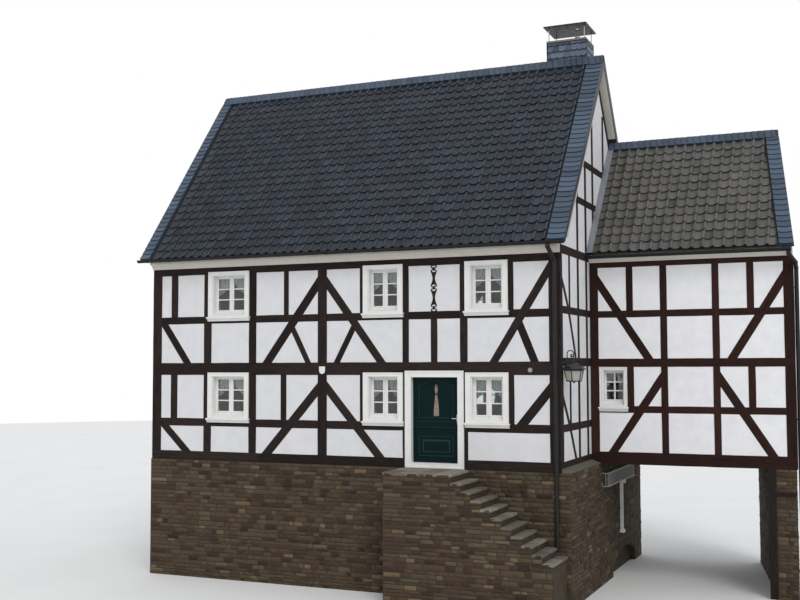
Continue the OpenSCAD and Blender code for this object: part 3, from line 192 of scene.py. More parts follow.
def timber_paint(name, dark, mid, light, source="UV", along=(1, 0, 0)):
    """Old dark timber: streaks and checks drawn out along the grain."""
    s = Shader(name)

    def drawn(length, width):
        return s.stretched([length if a else width for a in along], source)

    fine = s.noise(drawn(2.2, 46), 1.6, 6, 0.62)
    broad = s.noise(drawn(0.7, 5), 1.3, 3)
    cracks = s.grey(s.noise(drawn(1.1, 30), 1.0, 2, 0.4), 0.30, 0.36)
    colour = s.ramp(fine, (0.28, dark), (0.52, mid), (0.78, light))
    colour = s.over(colour, s.times(colour, (1.25, 1.12, 1.05)), broad, 0.35, 0.7, 1)
    if source == "UV":
        colour = s.times(colour, s.grey(s.tone(), 0, 1, 0.62, 1.38))
    colour = s.mix(cracks, s.times(colour, (0.35, 0.33, 0.32)), colour)
    normal = s.bump(s.maths("ADD", fine, s.maths("MULTIPLY", cracks, 1.6)), 0.55, 0.004)
    return s.done(colour, s.grey(fine, 0.2, 0.8, 0.72, 0.92), normal, 0.15)


def plaster_paint(name, pale=1.0):
    """Trowelled lime plaster, faintly mottled and washed by rain."""
    s = Shader(name)
    clean, dull, mid, washed = (tuple(c * pale for c in tone) for tone in (
        (0.74, 0.735, 0.745), (0.635, 0.635, 0.665), (0.70, 0.70, 0.72), (0.60, 0.595, 0.60)))
    where = s.stretched()
    cloud = s.noise(where, 3.2, 5, 0.6)
    colour = s.ramp(cloud, (0.25, dull), (0.75, clean))
    colour = s.over(colour, mid, s.noise(where, 0.55, 3), 0.35, 0.65)
    colour = s.over(colour, washed, s.noise(s.stretched((5, 5, 0.5)), 1.0, 4), 0.56, 0.78, 0.32)
    normal = s.bump(s.noise(s.stretched((6, 6, 11)), 1.2, 3), 0.22, 0.012,
                    s.bump(s.noise(where, 85, 3, 0.6), 0.35, 0.0016))
    return s.done(colour, s.grey(cloud, 0.2, 0.8, 0.82, 0.93), normal, 0.2)


def stone_paint(name, tones, rough=0.86):
    """Stones whose tone differs from one to the next, grained and pitted."""
    s = Shader(name)
    where = s.stretched()
    vein = s.noise(s.stretched((9, 9, 26)), 1.0, 5, 0.65)
    pits = s.noise(where, 46, 5, 0.7)
    colour = s.ramp(s.tone(), *tones)
    colour = s.over(colour, s.times(colour, (1.45, 1.38, 1.28)), vein, 0.35, 0.7, 0.65)
    colour = s.over(colour, s.times(colour, (0.55, 0.53, 0.52)), s.noise(where, 7, 3), 0.55, 0.75)
    colour = s.mix(s.grey(pits, 0.3, 0.45, 0.55, 0), colour, (0.03, 0.024, 0.019))
    normal = s.bump(pits, 0.8, 0.006, s.bump(vein, 0.5, 0.012))
    return s.done(colour, s.grey(pits, 0.2, 0.8, rough - 0.12, rough + 0.1), normal, 0.3)


# Mortar, dark brown: its darkness is painted shade in the joints between the stones.
def mortar_with_painted_shade():
    s = Shader("mortar")
    where = s.stretched()
    grit = s.noise(where, 120, 4, 0.7)
    colour = s.ramp(s.noise(where, 3.5, 4), (0.3, (0.022, 0.017, 0.012)),
                    (0.7, (0.066, 0.051, 0.035)))
    colour = s.over(colour, (0.10, 0.08, 0.058), grit, 0.35, 0.7)
    return s.done(colour, s.grey(grit, 0.2, 0.8, 0.88, 0.98), s.bump(grit, 0.9, 0.004), 0.2)


def slate_paint(name, low, high, cap=None):
    """Riven natural slate with lichen specks, near black at the lowest tone as painted shadow under
    the laps; cap is a height and the colours above it.
    """
    s = Shader(name)
    riven = s.noise(s.stretched((16, 16, 7)), 1.0, 6, 0.6)
    speck = s.noise(s.stretched(), 38, 4, 0.7)
    colour = s.ramp(s.tone(), (0.0, (0.007, 0.010, 0.015)), (0.16, low), (1.0, high))
    colour = s.over(colour, s.times(colour, (1.45, 1.38, 1.32)), riven, 0.35, 0.68)
    colour = s.over(colour, (0.24, 0.26, 0.25), speck, 0.68, 0.77)
    if cap:
        colour = s.mix(s.above(cap[0]), colour, s.mix(riven, cap[1], cap[2]))
    normal = s.bump(riven, 0.6, 0.006, s.bump(speck, 0.3, 0.002))
    return s.done(colour, s.grey(riven, 0.25, 0.75, 0.42, 0.66), normal, 0.45)


def tile_paint(name, tones, moss, moss_share, flecks=0.66):
    """Fired clay pantiles: tone from tile to tile, near black at the lowest tone as painted shade
    under the tails, lichen and moss.
    """
    s = Shader(name)
    where = s.stretched()
    blot = s.noise(where, 9, 5, 0.65)
    patch = s.maths("ADD", s.maths("MULTIPLY", s.noise(where, 1.1, 5, 0.62), 0.7),
                    s.maths("MULTIPLY", blot, 0.35))
    colour = s.ramp(s.tone(), *tones)
    colour = s.over(colour, s.times(colour, (1.4, 1.38, 1.34)), blot, 0.4, 0.7)
    colour = s.over(colour, moss, patch, 0.60 - 0.16 * moss_share, 0.70, 0.8 * moss_share)
    colour = s.over(colour, (0.20, 0.21, 0.18), s.noise(where, 34, 5, 0.8), flecks, flecks + 0.05,
                    0.75)
    normal = s.bump(s.noise(where, 130, 3, 0.6), 0.35, 0.0015, s.bump(blot, 0.25, 0.006))
    return s.done(colour, s.grey(blot, 0.3, 0.7, 0.42, 0.68), normal, 0.42)


def painted_wood(name, colour, worn, rough, along=(0, 0, 1), shine=0.4):
    """Brushed paint on boards: faint brush lines, grime in blotches and worn specks."""
    s = Shader(name)
    where = s.stretched()
    brush = s.noise(s.stretched([2.5 if a else 70 for a in along]), 1.0, 4, 0.6)
    grime = s.noise(where, 4.5, 5, 0.62)
    chips = s.noise(where, 60, 5, 0.75)
    tone = s.over(colour, tuple(c * 0.86 for c in colour), grime, 0.42, 0.72)
    tone = s.over(tone, worn, chips, 0.70, 0.74, 0.75)
    normal = s.bump(brush, 0.2, 0.0012, s.bump(chips, 0.15, 0.001))
    return s.done(tone, s.grey(grime, 0.3, 0.7, rough - 0.06, rough + 0.12), normal, shine)


def metal_paint(name, colour, rough, metallic=0.0, dust=(0.25, 0.24, 0.22), cap=None, creased=0.0):
    """Painted or weathered metal; cap is a height and the colour above it."""
    s = Shader(name)
    where = s.stretched()
    blot = s.noise(where, 11, 5, 0.65)
    tone = s.over(colour, dust, blot, 0.5, 0.78, 0.35)
    if cap:
        tone = s.mix(s.above(cap[0]), tone, cap[1])
    normal = s.bump(s.noise(where, 160, 3, 0.6), 0.15, 0.0006, s.bump(blot, 0.12, 0.004))
    if creased:
        normal = s.bump(s.noise(where, 19, 3, 0.5), 1.0, creased, normal)
    return s.done(tone, s.grey(blot, 0.3, 0.7, rough - 0.08, rough + 0.14), normal, 0.45,
                  Metallic=metallic)


def glass_paint(name, clean, dusty, clear, rough):
    """Old glass, slightly wavy, with faint dust."""
    s = Shader(name)
    where = s.stretched()
    dust = s.noise(where, 26, 5, 0.7)
    return s.done(s.ramp(dust, (0.3, clean), (0.8, dusty)),
                  s.grey(dust, 0.3, 0.8, rough, rough + 0.07),
                  s.bump(s.noise(where, 5.5, 2), 0.12, 0.006),
                  **{"Transmission Weight": clear, "IOR": 1.5})


def cloth_paint():
    """Thin pale cotton with a faint weave."""
    s = Shader("curtain_cotton")
    weave = s.noise(s.stretched((260, 260, 90)), 1.0, 3, 0.6)
    colour = s.mix(s.grey(weave, 0.3, 0.7), (0.50, 0.51, 0.52), (0.62, 0.63, 0.64))
    return s.done(colour, s.grey(weave, 0.2, 0.8, 0.85, 0.97), s.bump(weave, 0.3, 0.0008), 0.1)


BROWN = [(0.008, 0.0061, 0.0058), (0.017, 0.0126, 0.0113), (0.04, 0.0288, 0.0248)]
REDDISH = [(0.012, 0.0052, 0.0042), (0.025, 0.0112, 0.0088), (0.05, 0.0235, 0.0185)]
timber = timber_paint("timber_beam", *BROWN)
timber_wing = timber_paint("timber_wing", *REDDISH)
timber_upright = timber_paint("timber_upright", *BROWN, "Object", (0, 0, 1))
timber_y = timber_paint("timber_across", *BROWN, "Object", (0, 1, 0))
boards = timber_paint("floor_boards", (0.12, 0.075, 0.045), (0.19, 0.125, 0.078),
                      (0.27, 0.185, 0.12), "Object")
pale_wood = timber_paint("pale_wood", (0.11, 0.096, 0.074), (0.24, 0.212, 0.165),
                         (0.44, 0.395, 0.325), "Object", (0, 0, 1))
plaster = plaster_paint("plaster")
# A paler copy of the plaster, on the wing: painted light, the wing's walls brighter than the main
# front.
plaster_wing_painted_light = plaster_paint("plaster_wing_painted_light", 1.19)
rubble = stone_paint("rubble", [(0.0, (0.022, 0.014, 0.009)), (0.3, (0.046, 0.030, 0.019)),
                                (0.55, (0.070, 0.046, 0.027)), (0.75, (0.066, 0.055, 0.037)),
                                (1.0, (0.16, 0.113, 0.066))])
step_stone = stone_paint("step_stone", [(0.0, (0.10, 0.09, 0.075)), (1.0, (0.22, 0.20, 0.17))])
ledge_stone = stone_paint("ledge_stone", [(0.0, (0.095, 0.09, 0.072)), (1.0, (0.13, 0.12, 0.10))])
mortar = mortar_with_painted_shade()
slate = slate_paint("slate", (0.026, 0.046, 0.078), (0.052, 0.086, 0.135))
ridge_slate = slate_paint("ridge_slate", (0.019, 0.034, 0.060), (0.039, 0.064, 0.108))
chimney_slate = slate_paint("chimney_slate", (0.026, 0.044, 0.078), (0.10, 0.13, 0.185),
                            (13.842, (0.10, 0.085, 0.07), (0.20, 0.18, 0.16)))
# The lowest stop of each clay ramp is the painted shade under the tiles' tails.
MAIN_CLAY = [(0.0, (0.0025, 0.0035, 0.0055)), (0.25, (0.0105, 0.0152, 0.0245)),
             (0.6, (0.0165, 0.0238, 0.0378)), (1.0, (0.030, 0.041, 0.060))]
WING_CLAY = [(0.0, (0.012, 0.011, 0.010)), (0.25, (0.062, 0.060, 0.058)),
             (0.5, (0.078, 0.075, 0.073)), (1.0, (0.120, 0.115, 0.108))]
tiles = tile_paint("main_pantile", MAIN_CLAY, (0.038, 0.043, 0.045), 0.3)
old_tiles = tile_paint("wing_pantile", WING_CLAY, (0.088, 0.088, 0.062), 0.6, 0.61)
# Roof deck, near black: painted shade where it shows between the tiles and beside the verge strips.
deck_painted_shade = tile_paint("roof_deck", [(0.0, (0.02, 0.02, 0.02)), (1.0, (0.03, 0.03, 0.03))],
                        (0.03, 0.03, 0.03), 0.2)
white = painted_wood("white_paint", (0.775, 0.77, 0.755), (0.60, 0.57, 0.52), 0.5)
# A darker, warmer copy of the white paint, on the cornices and verge soffits: painted shade under
# the eaves.
white_painted_shade = painted_wood("white_paint_boards_painted_shade", (0.62, 0.59, 0.535), (0.50, 0.47, 0.42), 0.5,
                         (1, 0, 0))
green = painted_wood("door_paint", (0.0012, 0.0135, 0.015), (0.008, 0.03, 0.031), 0.3, shine=0.08)
# A lighter copy of the door paint, on the leaf's beads and panel mouldings: painted highlight along
# them.
green_painted_highlight = painted_wood("door_paint_painted_highlight", (0.0035, 0.025, 0.027), (0.012, 0.042, 0.042), 0.32,
                          shine=0.25)
dark_metal = metal_paint("dark_metal", (0.009, 0.0082, 0.0085), 0.5, 0.3, (0.030, 0.027, 0.026))
cage_metal = metal_paint("cage_metal", (0.30, 0.31, 0.31), 0.45, 0.4, (0.2, 0.2, 0.19))
cowl_metal = metal_paint("cowl_metal", (0.42, 0.44, 0.46), 0.4, 0.5, (0.25, 0.25, 0.25),
                         (14.2, (0.010, 0.0075, 0.0078)))
lead = metal_paint("lead", (0.26, 0.28, 0.31), 0.36, 0.5, (0.14, 0.15, 0.16), creased=0.02)
cotton = cloth_paint()
steel = metal_paint("handle_metal", (0.55, 0.55, 0.53), 0.3, 1.0, (0.35, 0.34, 0.32))
glass = glass_paint("glass", (0.86, 0.9, 0.91), (0.74, 0.78, 0.78), 1.0, 0.02)
lamp_glass = glass_paint("lantern_pane", (0.60, 0.60, 0.52), (0.48, 0.48, 0.41), 0.4, 0.3)
lamp_metal = metal_paint("lantern_metal", (0.024, 0.024, 0.027), 0.32, 0.4, (0.07, 0.07, 0.075))

NODE_PAINT = [
    (mortar, "base_front_wall base_back_wall base_left_wall base_right_wall wing_pier_masonry"),
    (mortar, "entrance_steps"), (ledge_stone, "base_ledge"), (cage_metal, "base_grille"),
    (boards, "ground_floor upper_floor attic_floor"),
    (plaster, "front_infill_upper front_infill_ground_left front_infill_ground_right"),
    (plaster, "right_gable_infill left_gable_infill back_infill"),
    (plaster_wing_painted_light, "wing_front_infill wing_back_infill wing_end_wall"),
    (timber_upright, "carved_post wing_pier_frame front_frame_upper front_frame_ground_left"),
    (timber_upright, "front_frame_ground_right right_gable_frame left_gable_frame back_frame"),
    (timber_upright, "wing_front_frame wing_back_frame"), (timber_y, "wing_floor"),
    (white, "base_strut front_windows back_windows wing_windows door_frame"),
    (white_painted_shade, "verge_soffits cornices"), (glass, "window_glass"), (lamp_glass, "lantern_glass"),
    (green, "front_door"), (pale_wood, "door_ornament"), (steel, "door_handle"),
    (dark_metal, "door_pintles door_hinges gutters downpipes"), (cowl_metal, "chimney_cowl"),
    (lamp_metal, "wall_lantern"), (lead, "wing_flashing"), (chimney_slate, "chimney_shaft"),
    (deck_painted_shade, "roof_front roof_back wing_roof_front wing_roof_back"),
    (slate, "ridge_slates verge_slates"),
]
for paint, names in NODE_PAINT:
    for name in names.split():
        node = nodes[name]
        if not node.material_slots:
            node.data.materials.append(paint)
        for place in node.material_slots:
            place.material = paint


# Joined meshes
class Plane:
    """A wall or slope: points given along it, up it and out of it."""

    def __init__(self, origin, right, up, normal):
        self.o, self.r, self.u, self.n = (np.array(a, float) for a in (origin, right, up, normal))
        self.turned = np.dot(np.cross(self.r, self.u), self.n) < 0

    def put(self, points):
        p = np.asarray(points, float)
        return self.o + p[:, :1] * self.r + p[:, 1:2] * self.u + p[:, 2:3] * self.n


FACINGS = {"front": ((1, 0, 0), (0, -1, 0)), "back": ((1, 0, 0), (0, 1, 0)),
           "right": ((0, 1, 0), (1, 0, 0)), "left": ((0, 1, 0), (-1, 0, 0))}


def upright(way, at):
    """Upright plane that faces one way, at a place on the axis it faces along."""
    right, out = FACINGS[way]
    return Plane([at * abs(c) for c in out], right, (0, 0, 1), out)


def level(z):
    return Plane((0, 0, z), (1, 0, 0), (0, 1, 0), (0, 0, 1))


WORLD = level(0)
FRONT, BACK, WING_FRONT = upright("front", 0), upright("back", HOUSE_D), upright("front", WING_Y)
RIGHT, LEFT = upright("right", 0), upright("left", -HOUSE_W)


def ring_faces(count, rings, capped=False):
    """Quads between closed rings of points, each ring after the one below it."""
    faces = [[r * count + i, r * count + (i + 1) % count, (r + 1) * count + (i + 1) % count,
              (r + 1) * count + i] for r in range(rings - 1) for i in range(count)]
    if capped:
        faces += [[*range((rings - 1) * count, rings * count)], [*range(count)][::-1]]
    return faces


def grid_faces(count, rows):
    """Quads between open rows of points, each row after the one below it."""
    return [[r * count + i, r * count + i + 1, (r + 1) * count + i + 1, (r + 1) * count + i]
            for r in range(rows) for i in range(count - 1)]


def tile_faces(count):
    """Three rows of quads, and those of the tail between the first row and a fifth one under it."""
    return grid_faces(count, 3) + [[4 * count + i, 4 * count + i + 1, i + 1, i]
                                   for i in range(count - 1)]


def unit(v):
    return v / np.linalg.norm(v, axis=-1, keepdims=True)


class Joined:
    """Many small solids gathered into one mesh, each with its own tone."""

    def __init__(self):
        self.verts, self.faces, self.tones, self.grain, self.count = [], [], [], [], 0

    def add(self, points, faces, plane=WORLD, tone=0.5, grain=None):
        points = np.asarray(points, float)
        step = -1 if plane.turned else 1
        self.verts.append(plane.put(points))
        self.faces += [[i + self.count for i in face[::step]] for face in faces]
        self.tones.append(np.broadcast_to(tone, len(points)))
        self.grain.append(points[:, :2] if grain is None else grain)
        self.count += len(points)

    def prism(self, outline, low, high, plane=WORLD, tone=0.5):
        """A slab on an outline, between two distances out of its plane."""
        self.add([(*p, n) for n in (low, high) for p in outline],
                 ring_faces(len(outline), 2, True), plane, tone)

    def make(self, name, paint, slot, *replaced, body="house", crease=35):
        mesh = bpy.data.meshes.new(name)
        mesh.from_pydata(np.concatenate(self.verts).tolist(), [], self.faces)
        mesh.attributes.new("tone", "FLOAT", "POINT").data.foreach_set(
            "value", np.concatenate(self.tones))
        corners = np.empty(len(mesh.loops), dtype=np.int32)
        mesh.loops.foreach_get("vertex_index", corners)
        mesh.uv_layers.new(name="grain").data.foreach_set(
            "uv", np.concatenate(self.grain)[corners].ravel())
        mesh.shade_smooth()
        mesh.set_sharp_from_angle(angle=math.radians(crease))
        mesh.materials.append(paint)
        made = bpy.data.objects.new(name, mesh)
        bpy.context.collection.objects.link(made)
        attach(made, body)
        if replaced:
            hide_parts(*replaced)
        return made


# Timbers, stones and slates are laid in their wall's or slope's plane
def hewn(j, plane, outline, grain, out=0.0, depth=TIMBER_T, tone=0.5, rng=None, waver=0.006,
         chamfer=0.006):
    """A prism on an outline, with wavering edges, a chamfer and its own grain."""
    pts, aways = [], []
    outline = np.array(outline, float)
    for a, b in zip(outline, np.roll(outline, -1, axis=0)):
        run = b - a
        away = unit(np.array([run[1], -run[0]]))
        parts = max(1, int(np.hypot(*run) / 0.42))
        for k in range(parts):
            push = rng.uniform(0, waver) if k else 0.001
            pts.append(a + run * (k + (rng.uniform(-0.3, 0.3) if k else 0)) / parts + away * push)
            aways.append(away)
    pts, aways = np.array(pts), np.array(aways)
    mean = unit(aways + np.roll(aways, 1, axis=0))
    inner = pts - mean / np.maximum(0.35, np.sum(mean * aways, axis=1))[:, None] * chamfer
    rings = [(pts, out - depth), (pts, out - chamfer), (inner, out)]
    points = np.array([[*p, n] for ring, n in rings for p in ring])
    grain = unit(np.array(grain, float))
    across = np.array([-grain[1], grain[0]])
    uv = np.column_stack([points[:, :2] @ grain, points[:, :2] @ across + points[:, 2]])
    j.add(points, ring_faces(len(pts), 3, True), plane, tone, uv + rng.uniform(0, 60, 2))


def box2(x0, x1, z0, z1):
    return [(x0, z0), (x1, z0), (x1, z1), (x0, z1)]


def clipped(outline, axis, limit, side):
    """The part of a convex outline on one side of a line across an axis."""
    kept = []
    for a, b in zip(outline, outline[1:] + outline[:1]):
        from_a, from_b = side * (a[axis] - limit), side * (b[axis] - limit)
        if from_a > 0:
            kept.append(a)
        if from_a * from_b < 0:
            share = from_a / (from_a - from_b)
            kept.append((a[0] + (b[0] - a[0]) * share, a[1] + (b[1] - a[1]) * share))
    return kept


class Frame2:
    """The timbers of one wall, laid out in its plane."""

    def __init__(self, plane, seed):
        self.plane, self.j, self.rng = plane, Joined(), np.random.RandomState(seed)

    def lay(self, outline, grain, out):
        tone = self.rng.uniform(0.15, 0.9)
        hewn(self.j, self.plane, outline, grain, out, tone=tone, rng=self.rng)

    def bar(self, x0, x1, z0, z1, out=0.0, grain=None, holes=()):
        spans = [(x0, x1)]
        for a, b in holes:
            spans = [s for lo, hi in spans for s in ((lo, min(hi, a)), (max(lo, b), hi))
                     if s[1] - s[0] > 0.02]
        for lo, hi in spans:
            self.lay(box2(lo, hi, z0, z1), grain or ((1, 0) if hi - lo > z1 - z0 else (0, 1)), out)

    def beam(self, x0, x1, z0, z1, out=0.0):
        """A long beam, in two or three lengths."""
        parts = max(1, round((x1 - x0) / 4.2))
        cuts = [x0] + [x0 + (x1 - x0) * (k + self.rng.uniform(-0.12, 0.12)) / parts
                       for k in range(1, parts)] + [x1]
        for a, b in zip(cuts, cuts[1:]):
            self.bar(a + (0.001 if a > x0 else 0), b - (0.001 if b < x1 else 0), z0, z1, out)

    def brace(self, foot, head, w, bay=None, out=-0.003):
        """A slanting timber, cut off at the middles of the posts beside its bay."""
        run, rise = head[0] - foot[0], head[1] - foot[1]
        half = w / 2 * math.hypot(run, rise) / abs(rise)
        outline = [(foot[0] - half, foot[1]), (foot[0] + half, foot[1]), (head[0] + half, head[1]),
                   (head[0] - half, head[1])]
        if bay:
            outline = clipped(clipped(outline, 0, bay[0], 1), 0, bay[1], -1)
        self.lay(outline, (run, rise), out)

    def bent(self, path, w, out=-0.003):
        """A naturally bent timber along a path of points."""
        path = np.array(path, float)
        ways = unit(np.gradient(path, axis=0))
        across = np.column_stack([ways[:, 1], -ways[:, 0]]) * w / 2
        outline = np.concatenate([path + across, (path - across)[::-1]])
        x, z = outline.T
        area = np.sum(x * np.roll(z, -1) - z * np.roll(x, -1))
        self.lay(outline if area > 0 else outline[::-1], path[-1] - path[0], out)

    def peg(self, x, z, out=0.0):
        x, z = x + self.rng.uniform(-0.012, 0.012), z + self.rng.uniform(-0.012, 0.012)
        r = self.rng.uniform(0.011, 0.014)
        ring = [(math.cos(a), math.sin(a)) for a in np.arange(7) * math.tau / 7 + 0.3]
        pts = [[x + s * r * c, z + s * r * d, out + n] for s, n in ((1, -0.004), (0.86, 0.005))
               for c, d in ring]
        faces = ring_faces(7, 2) + [[*range(7, 14)]]
        self.j.add(pts, faces, self.plane, self.rng.uniform(0.3, 1.0))

    def rail(self, x0, x1, z0, z1, posts, out=-0.0045):
        """A rail cut between the posts that it meets, pegged at each."""
        self.bar(x0, x1, z0, z1, out, (1, 0), posts)
        for a, b in posts:
            for x in (a - 0.05, b + 0.05):
                if x0 < x < x1:
                    self.peg(x, (z0 + z1) / 2, out)

    def post(self, x0, x1, z0, z1, out=0.0):
        self.bar(x0, x1, z0, z1, out, (0, 1))
        for z in (z0 + 0.06, z1 - 0.06):
            self.peg((x0 + x1) / 2, z, out)

    def posts(self, places, z0, z1, out=0.0):
        for a, b in places:
            self.post(a, b, z0, z1, out)

    def make(self, name, paint, *replaced):
        return self.j.make(name, paint, "timber", *replaced, crease=30)


def mirrored(outline, width):
    """The same outline seen from the other end of a wall."""
    return [(width - x, z) for x, z in outline][::-1]


CORNER_W, BRACE_W, BRACE_THIN = 0.27, 0.19, 0.14
# Posts of the long walls: distance from the corner to the right edge, and width
THROUGH = {"h": (2.22, 0.18), "g": (3.695, 0.16), "e": (5.875, 0.245), "c": (7.87, 0.21),
           "b": (9.2, 0.22)}
UPPER_ONLY = {"i": (1.1, 0.135), "f": (4.815, 0.16), "d": (6.94, 0.135), "a": (10.23, 0.2)}
GROUND_ONLY = {**UPPER_ONLY, "d": (7.0, 0.16)}
CARVED = (2.97, 0.16)
# Long braces: distance from the corner at foot and head, and width; and the bays that they fill
UPPER_BRACES = [(7.592, 5.832, 0.215), (4.372, 6.154, 0.19), (1.613, 0.109, 0.18)]
GROUND_BRACES = [(7.6, 5.757, 0.215), (4.414, 6.185, 0.2), (1.651, -0.054, 0.205)]
BAYS = [(-7.975, -5.9975), (-5.9975, -3.775), (-2.31, -0.135)]
THIN_BRACES, THIN_HEAD = [(6.366, 0.142), (5.631, 0.15), (0.592, 0.18)], 6.364
END_FOOT, END_HEAD, LAP = 1.11, 0.28, 0.05


def spans(posts):
    return [(-p[0] - p[1], -p[0]) for p in posts]


def upper_storey(f, carved=True):
    low, high, rail = Z_MID + MID_H, Z_PLATE, Z_RAIL_UP + RAIL_UP_H
    f.beam(-HOUSE_W, 0, Z_MID, low)
    f.beam(-HOUSE_W, 0, Z_PLATE, Z_ATTIC)
    f.posts(CORNERS + spans(THROUGH.values()), low, high)
    f.posts(spans(UPPER_ONLY.values()), rail, high, -0.001)
    f.posts(spans([CARVED]), low, Z_RAIL_UP if carved else high, -0.001)
    f.rail(-HOUSE_W, 0, Z_RAIL_UP, rail, CORNERS + spans(THROUGH.values()))
    foot_z, head_z = low - LAP, high + LAP
    share = (THIN_HEAD - foot_z) / (head_z - foot_z)
    for (foot, head, w), bay, (thin, thin_w) in zip(UPPER_BRACES, BAYS, THIN_BRACES):
        f.brace((-foot, foot_z), (-head, head_z), w, bay)
        f.brace((-thin, foot_z), (-foot - (head - foot) * share, THIN_HEAD), thin_w, out=-0.0055)
    f.brace((END_FOOT - HOUSE_W, foot_z), (END_HEAD - HOUSE_W, Z_RAIL_UP + 0.1), BRACE_W)


def ground_storey(f, door=None):
    """Timbers of the ground storey, left out where the doorway is."""
    low, rail = Z_SILL + SILL_H, Z_RAIL_LOW + RAIL_LOW_H
    through = spans(THROUGH.values())
    pieces = [(-HOUSE_W, 0)] if door is None else [(-HOUSE_W, door[0]), (door[1], 0)]
    if door:
        through = [(max(a, door[1]), b) if a < door[1] < b else (a, min(b, door[0]))
                   if a < door[0] < b else (a, b) for a, b in through]
    for a, b in pieces:
        f.beam(a, b, Z_SILL, low)
        f.rail(a, b, Z_RAIL_LOW, rail, CORNERS + through)
    f.posts(CORNERS + through, low, Z_MID)
    f.posts(spans(GROUND_ONLY.values()), rail, Z_MID, -0.001)
    foot_z, head_z = low - LAP, Z_MID + LAP
    for (foot, head, w), bay in zip(GROUND_BRACES, BAYS):
        start = foot_z if bay is not BAYS[2] else Z_RAIL_LOW + LAP
        share = (start - foot_z) / (head_z - foot_z)
        f.brace((-foot - (head - foot) * share, start), (-head, head_z), w, bay)
    f.brace((END_FOOT - HOUSE_W, foot_z), (END_HEAD - HOUSE_W, Z_RAIL_LOW + 0.1), BRACE_W)


DOOR_HOLE = (-3.695, -2.4)
CORNERS = [(-HOUSE_W, -HOUSE_W + CORNER_W), (-CORNER_W, 0)]
front = Frame2(FRONT, 3)
upper_storey(front)
ground_storey(front, DOOR_HOLE)
front.make("front_timbers", timber, "front_frame_upper", "front_frame_ground_left",
           "front_frame_ground_right")
# Carved post: waisted lengths with a pierced eye at each end, and plaster round them
CARVED_SIDE = [(0.0, 0.028), (0.012, 0.037), (0.022, 0.058), (0.034, 0.073), (0.048, 0.08),
               (0.066, 0.077), (0.09, 0.066), (0.12, 0.053), (0.16, 0.040), (0.2, 0.032)]
CARVED_NECKS = (0.083, 0.555, 1.0)
EYE_W, EYE_AT, EYE_FAR, EYE_NEAR = 0.057, 0.05, 0.026, 0.019


def pierced(j, plane, loops, out, depth, chamfer, tone, grain):
    """A board on an outline with holes: the outline turns left round the wood, holes turn right."""
    rings, faces, start, fronts = [], [], 0, []
    for loop in loops:
        pts = np.array(loop, float)
        count = len(pts)
        ahead = unit(np.roll(pts, -1, axis=0) - pts)
        mean = ahead + np.roll(ahead, 1, axis=0)
        mean /= np.maximum(np.linalg.norm(mean, axis=1)[:, None], 0.5)
        inner = pts + np.column_stack([-mean[:, 1], mean[:, 0]]) * chamfer
        rings += [np.column_stack([q, np.full(count, n)]) for q, n in
                  ((pts, out - depth), (pts, out - chamfer), (inner, out))]
        faces += [[i + start for i in face] for face in ring_faces(count, 3)]
        fronts.append((inner, start + 2 * count))
        start += 3 * count
    flat = np.concatenate([q for q, _ in fronts])
    place = np.concatenate([np.arange(len(q)) + at for q, at in fronts])
    for face in tessellate_polygon([[Vector((*p, 0)) for p in q] for q, _ in fronts]):
        a, b, c = (flat[i] for i in face)
        turn = (b[0] - a[0]) * (c[1] - a[1]) - (b[1] - a[1]) * (c[0] - a[0])
        faces.append([int(place[i]) for i in (face if turn > 0 else face[::-1])])
    points = np.concatenate(rings)
    j.add(points, faces, plane, tone, np.column_stack([points[:, 1], points[:, 0]]) + grain)


def carved_loops(mid, low, high):
    """Outline of the carved post, and its eyes above and below each neck."""
    necks = [low + neck for neck in CARVED_NECKS]
    edge = [(low, 0.066)] + [(necks[0] - d, h) for d, h in CARVED_SIDE[::-1] if d < necks[0] - low]
    for a, b in zip(necks, necks[1:]):
        edge += [(a + d, h) for d, h in CARVED_SIDE[1:]] + [((a + b) / 2, 0.029)]
        edge += [(b - d, h) for d, h in CARVED_SIDE[::-1]]
    edge += [(necks[-1] + d, h) for d, h in CARVED_SIDE[1:] if d < high - necks[-1]]
    edge.append((high, 0.066))
    loops = [[(mid + h, z) for z, h in edge] + [(mid - h, z) for z, h in edge[::-1]]]
    u = np.linspace(-1, 1, 15)
    for neck in necks:
        for way in (1, -1):
            far = [(mid + EYE_W * t, neck + way * (EYE_AT + EYE_FAR * (1 - t * t))) for t in u]
            near = [(mid + EYE_W * t, neck + way * (EYE_AT - EYE_NEAR * (1 - t * t)
                                                    + 0.02 * max(0.0, 1 - abs(t) / 0.22)))
                    for t in u[1:-1]]
            loops.append((far + near[::-1])[::way])
    return loops


CARVED_MID = -CARVED[0] - CARVED[1] / 2
carved_z = (Z_RAIL_UP + RAIL_UP_H, Z_PLATE)
carved = Joined()
pierced(carved, FRONT, carved_loops(CARVED_MID, *carved_z), -0.001, 0.06, 0.004, 0.5, 7.3)
carved.make("carved_spindles", timber, "timber", "carved_post", crease=30)
fill = Joined()
fill_half, fill_lap = 0.083, 0.01
hewn(fill, FRONT, box2(CARVED_MID - fill_half, CARVED_MID + fill_half, carved_z[0] - fill_lap,
                       carved_z[1] + fill_lap), (1, 0), 0.001 - RECESS, 0.04, rng=front.rng,
     waver=0.0, chamfer=0.0005)
fill.make("carved_post_plaster", plaster, "plaster")
back = Frame2(BACK, 5)
upper_storey(back, False)
ground_storey(back)
back.make("back_timbers", timber, "back_frame")


# Bent braces of the gables, from foot to head: distance from the front and height
UPPER_BENT = [(1.38, 5.44), (1.21, 5.78), (1.03, 6.10), (0.83, 6.45), (0.60, 6.80), (0.32, 7.13),
              (0.05, 7.40)]
LOWER_BENT = [(1.33, 3.12), (1.16, 3.35), (0.97, 3.64), (0.73, 3.97), (0.43, 4.33), (0.05, 4.77)]


def under_roof(y):
    return roof_top(y) - ROOF_T / math.cos(PITCH)


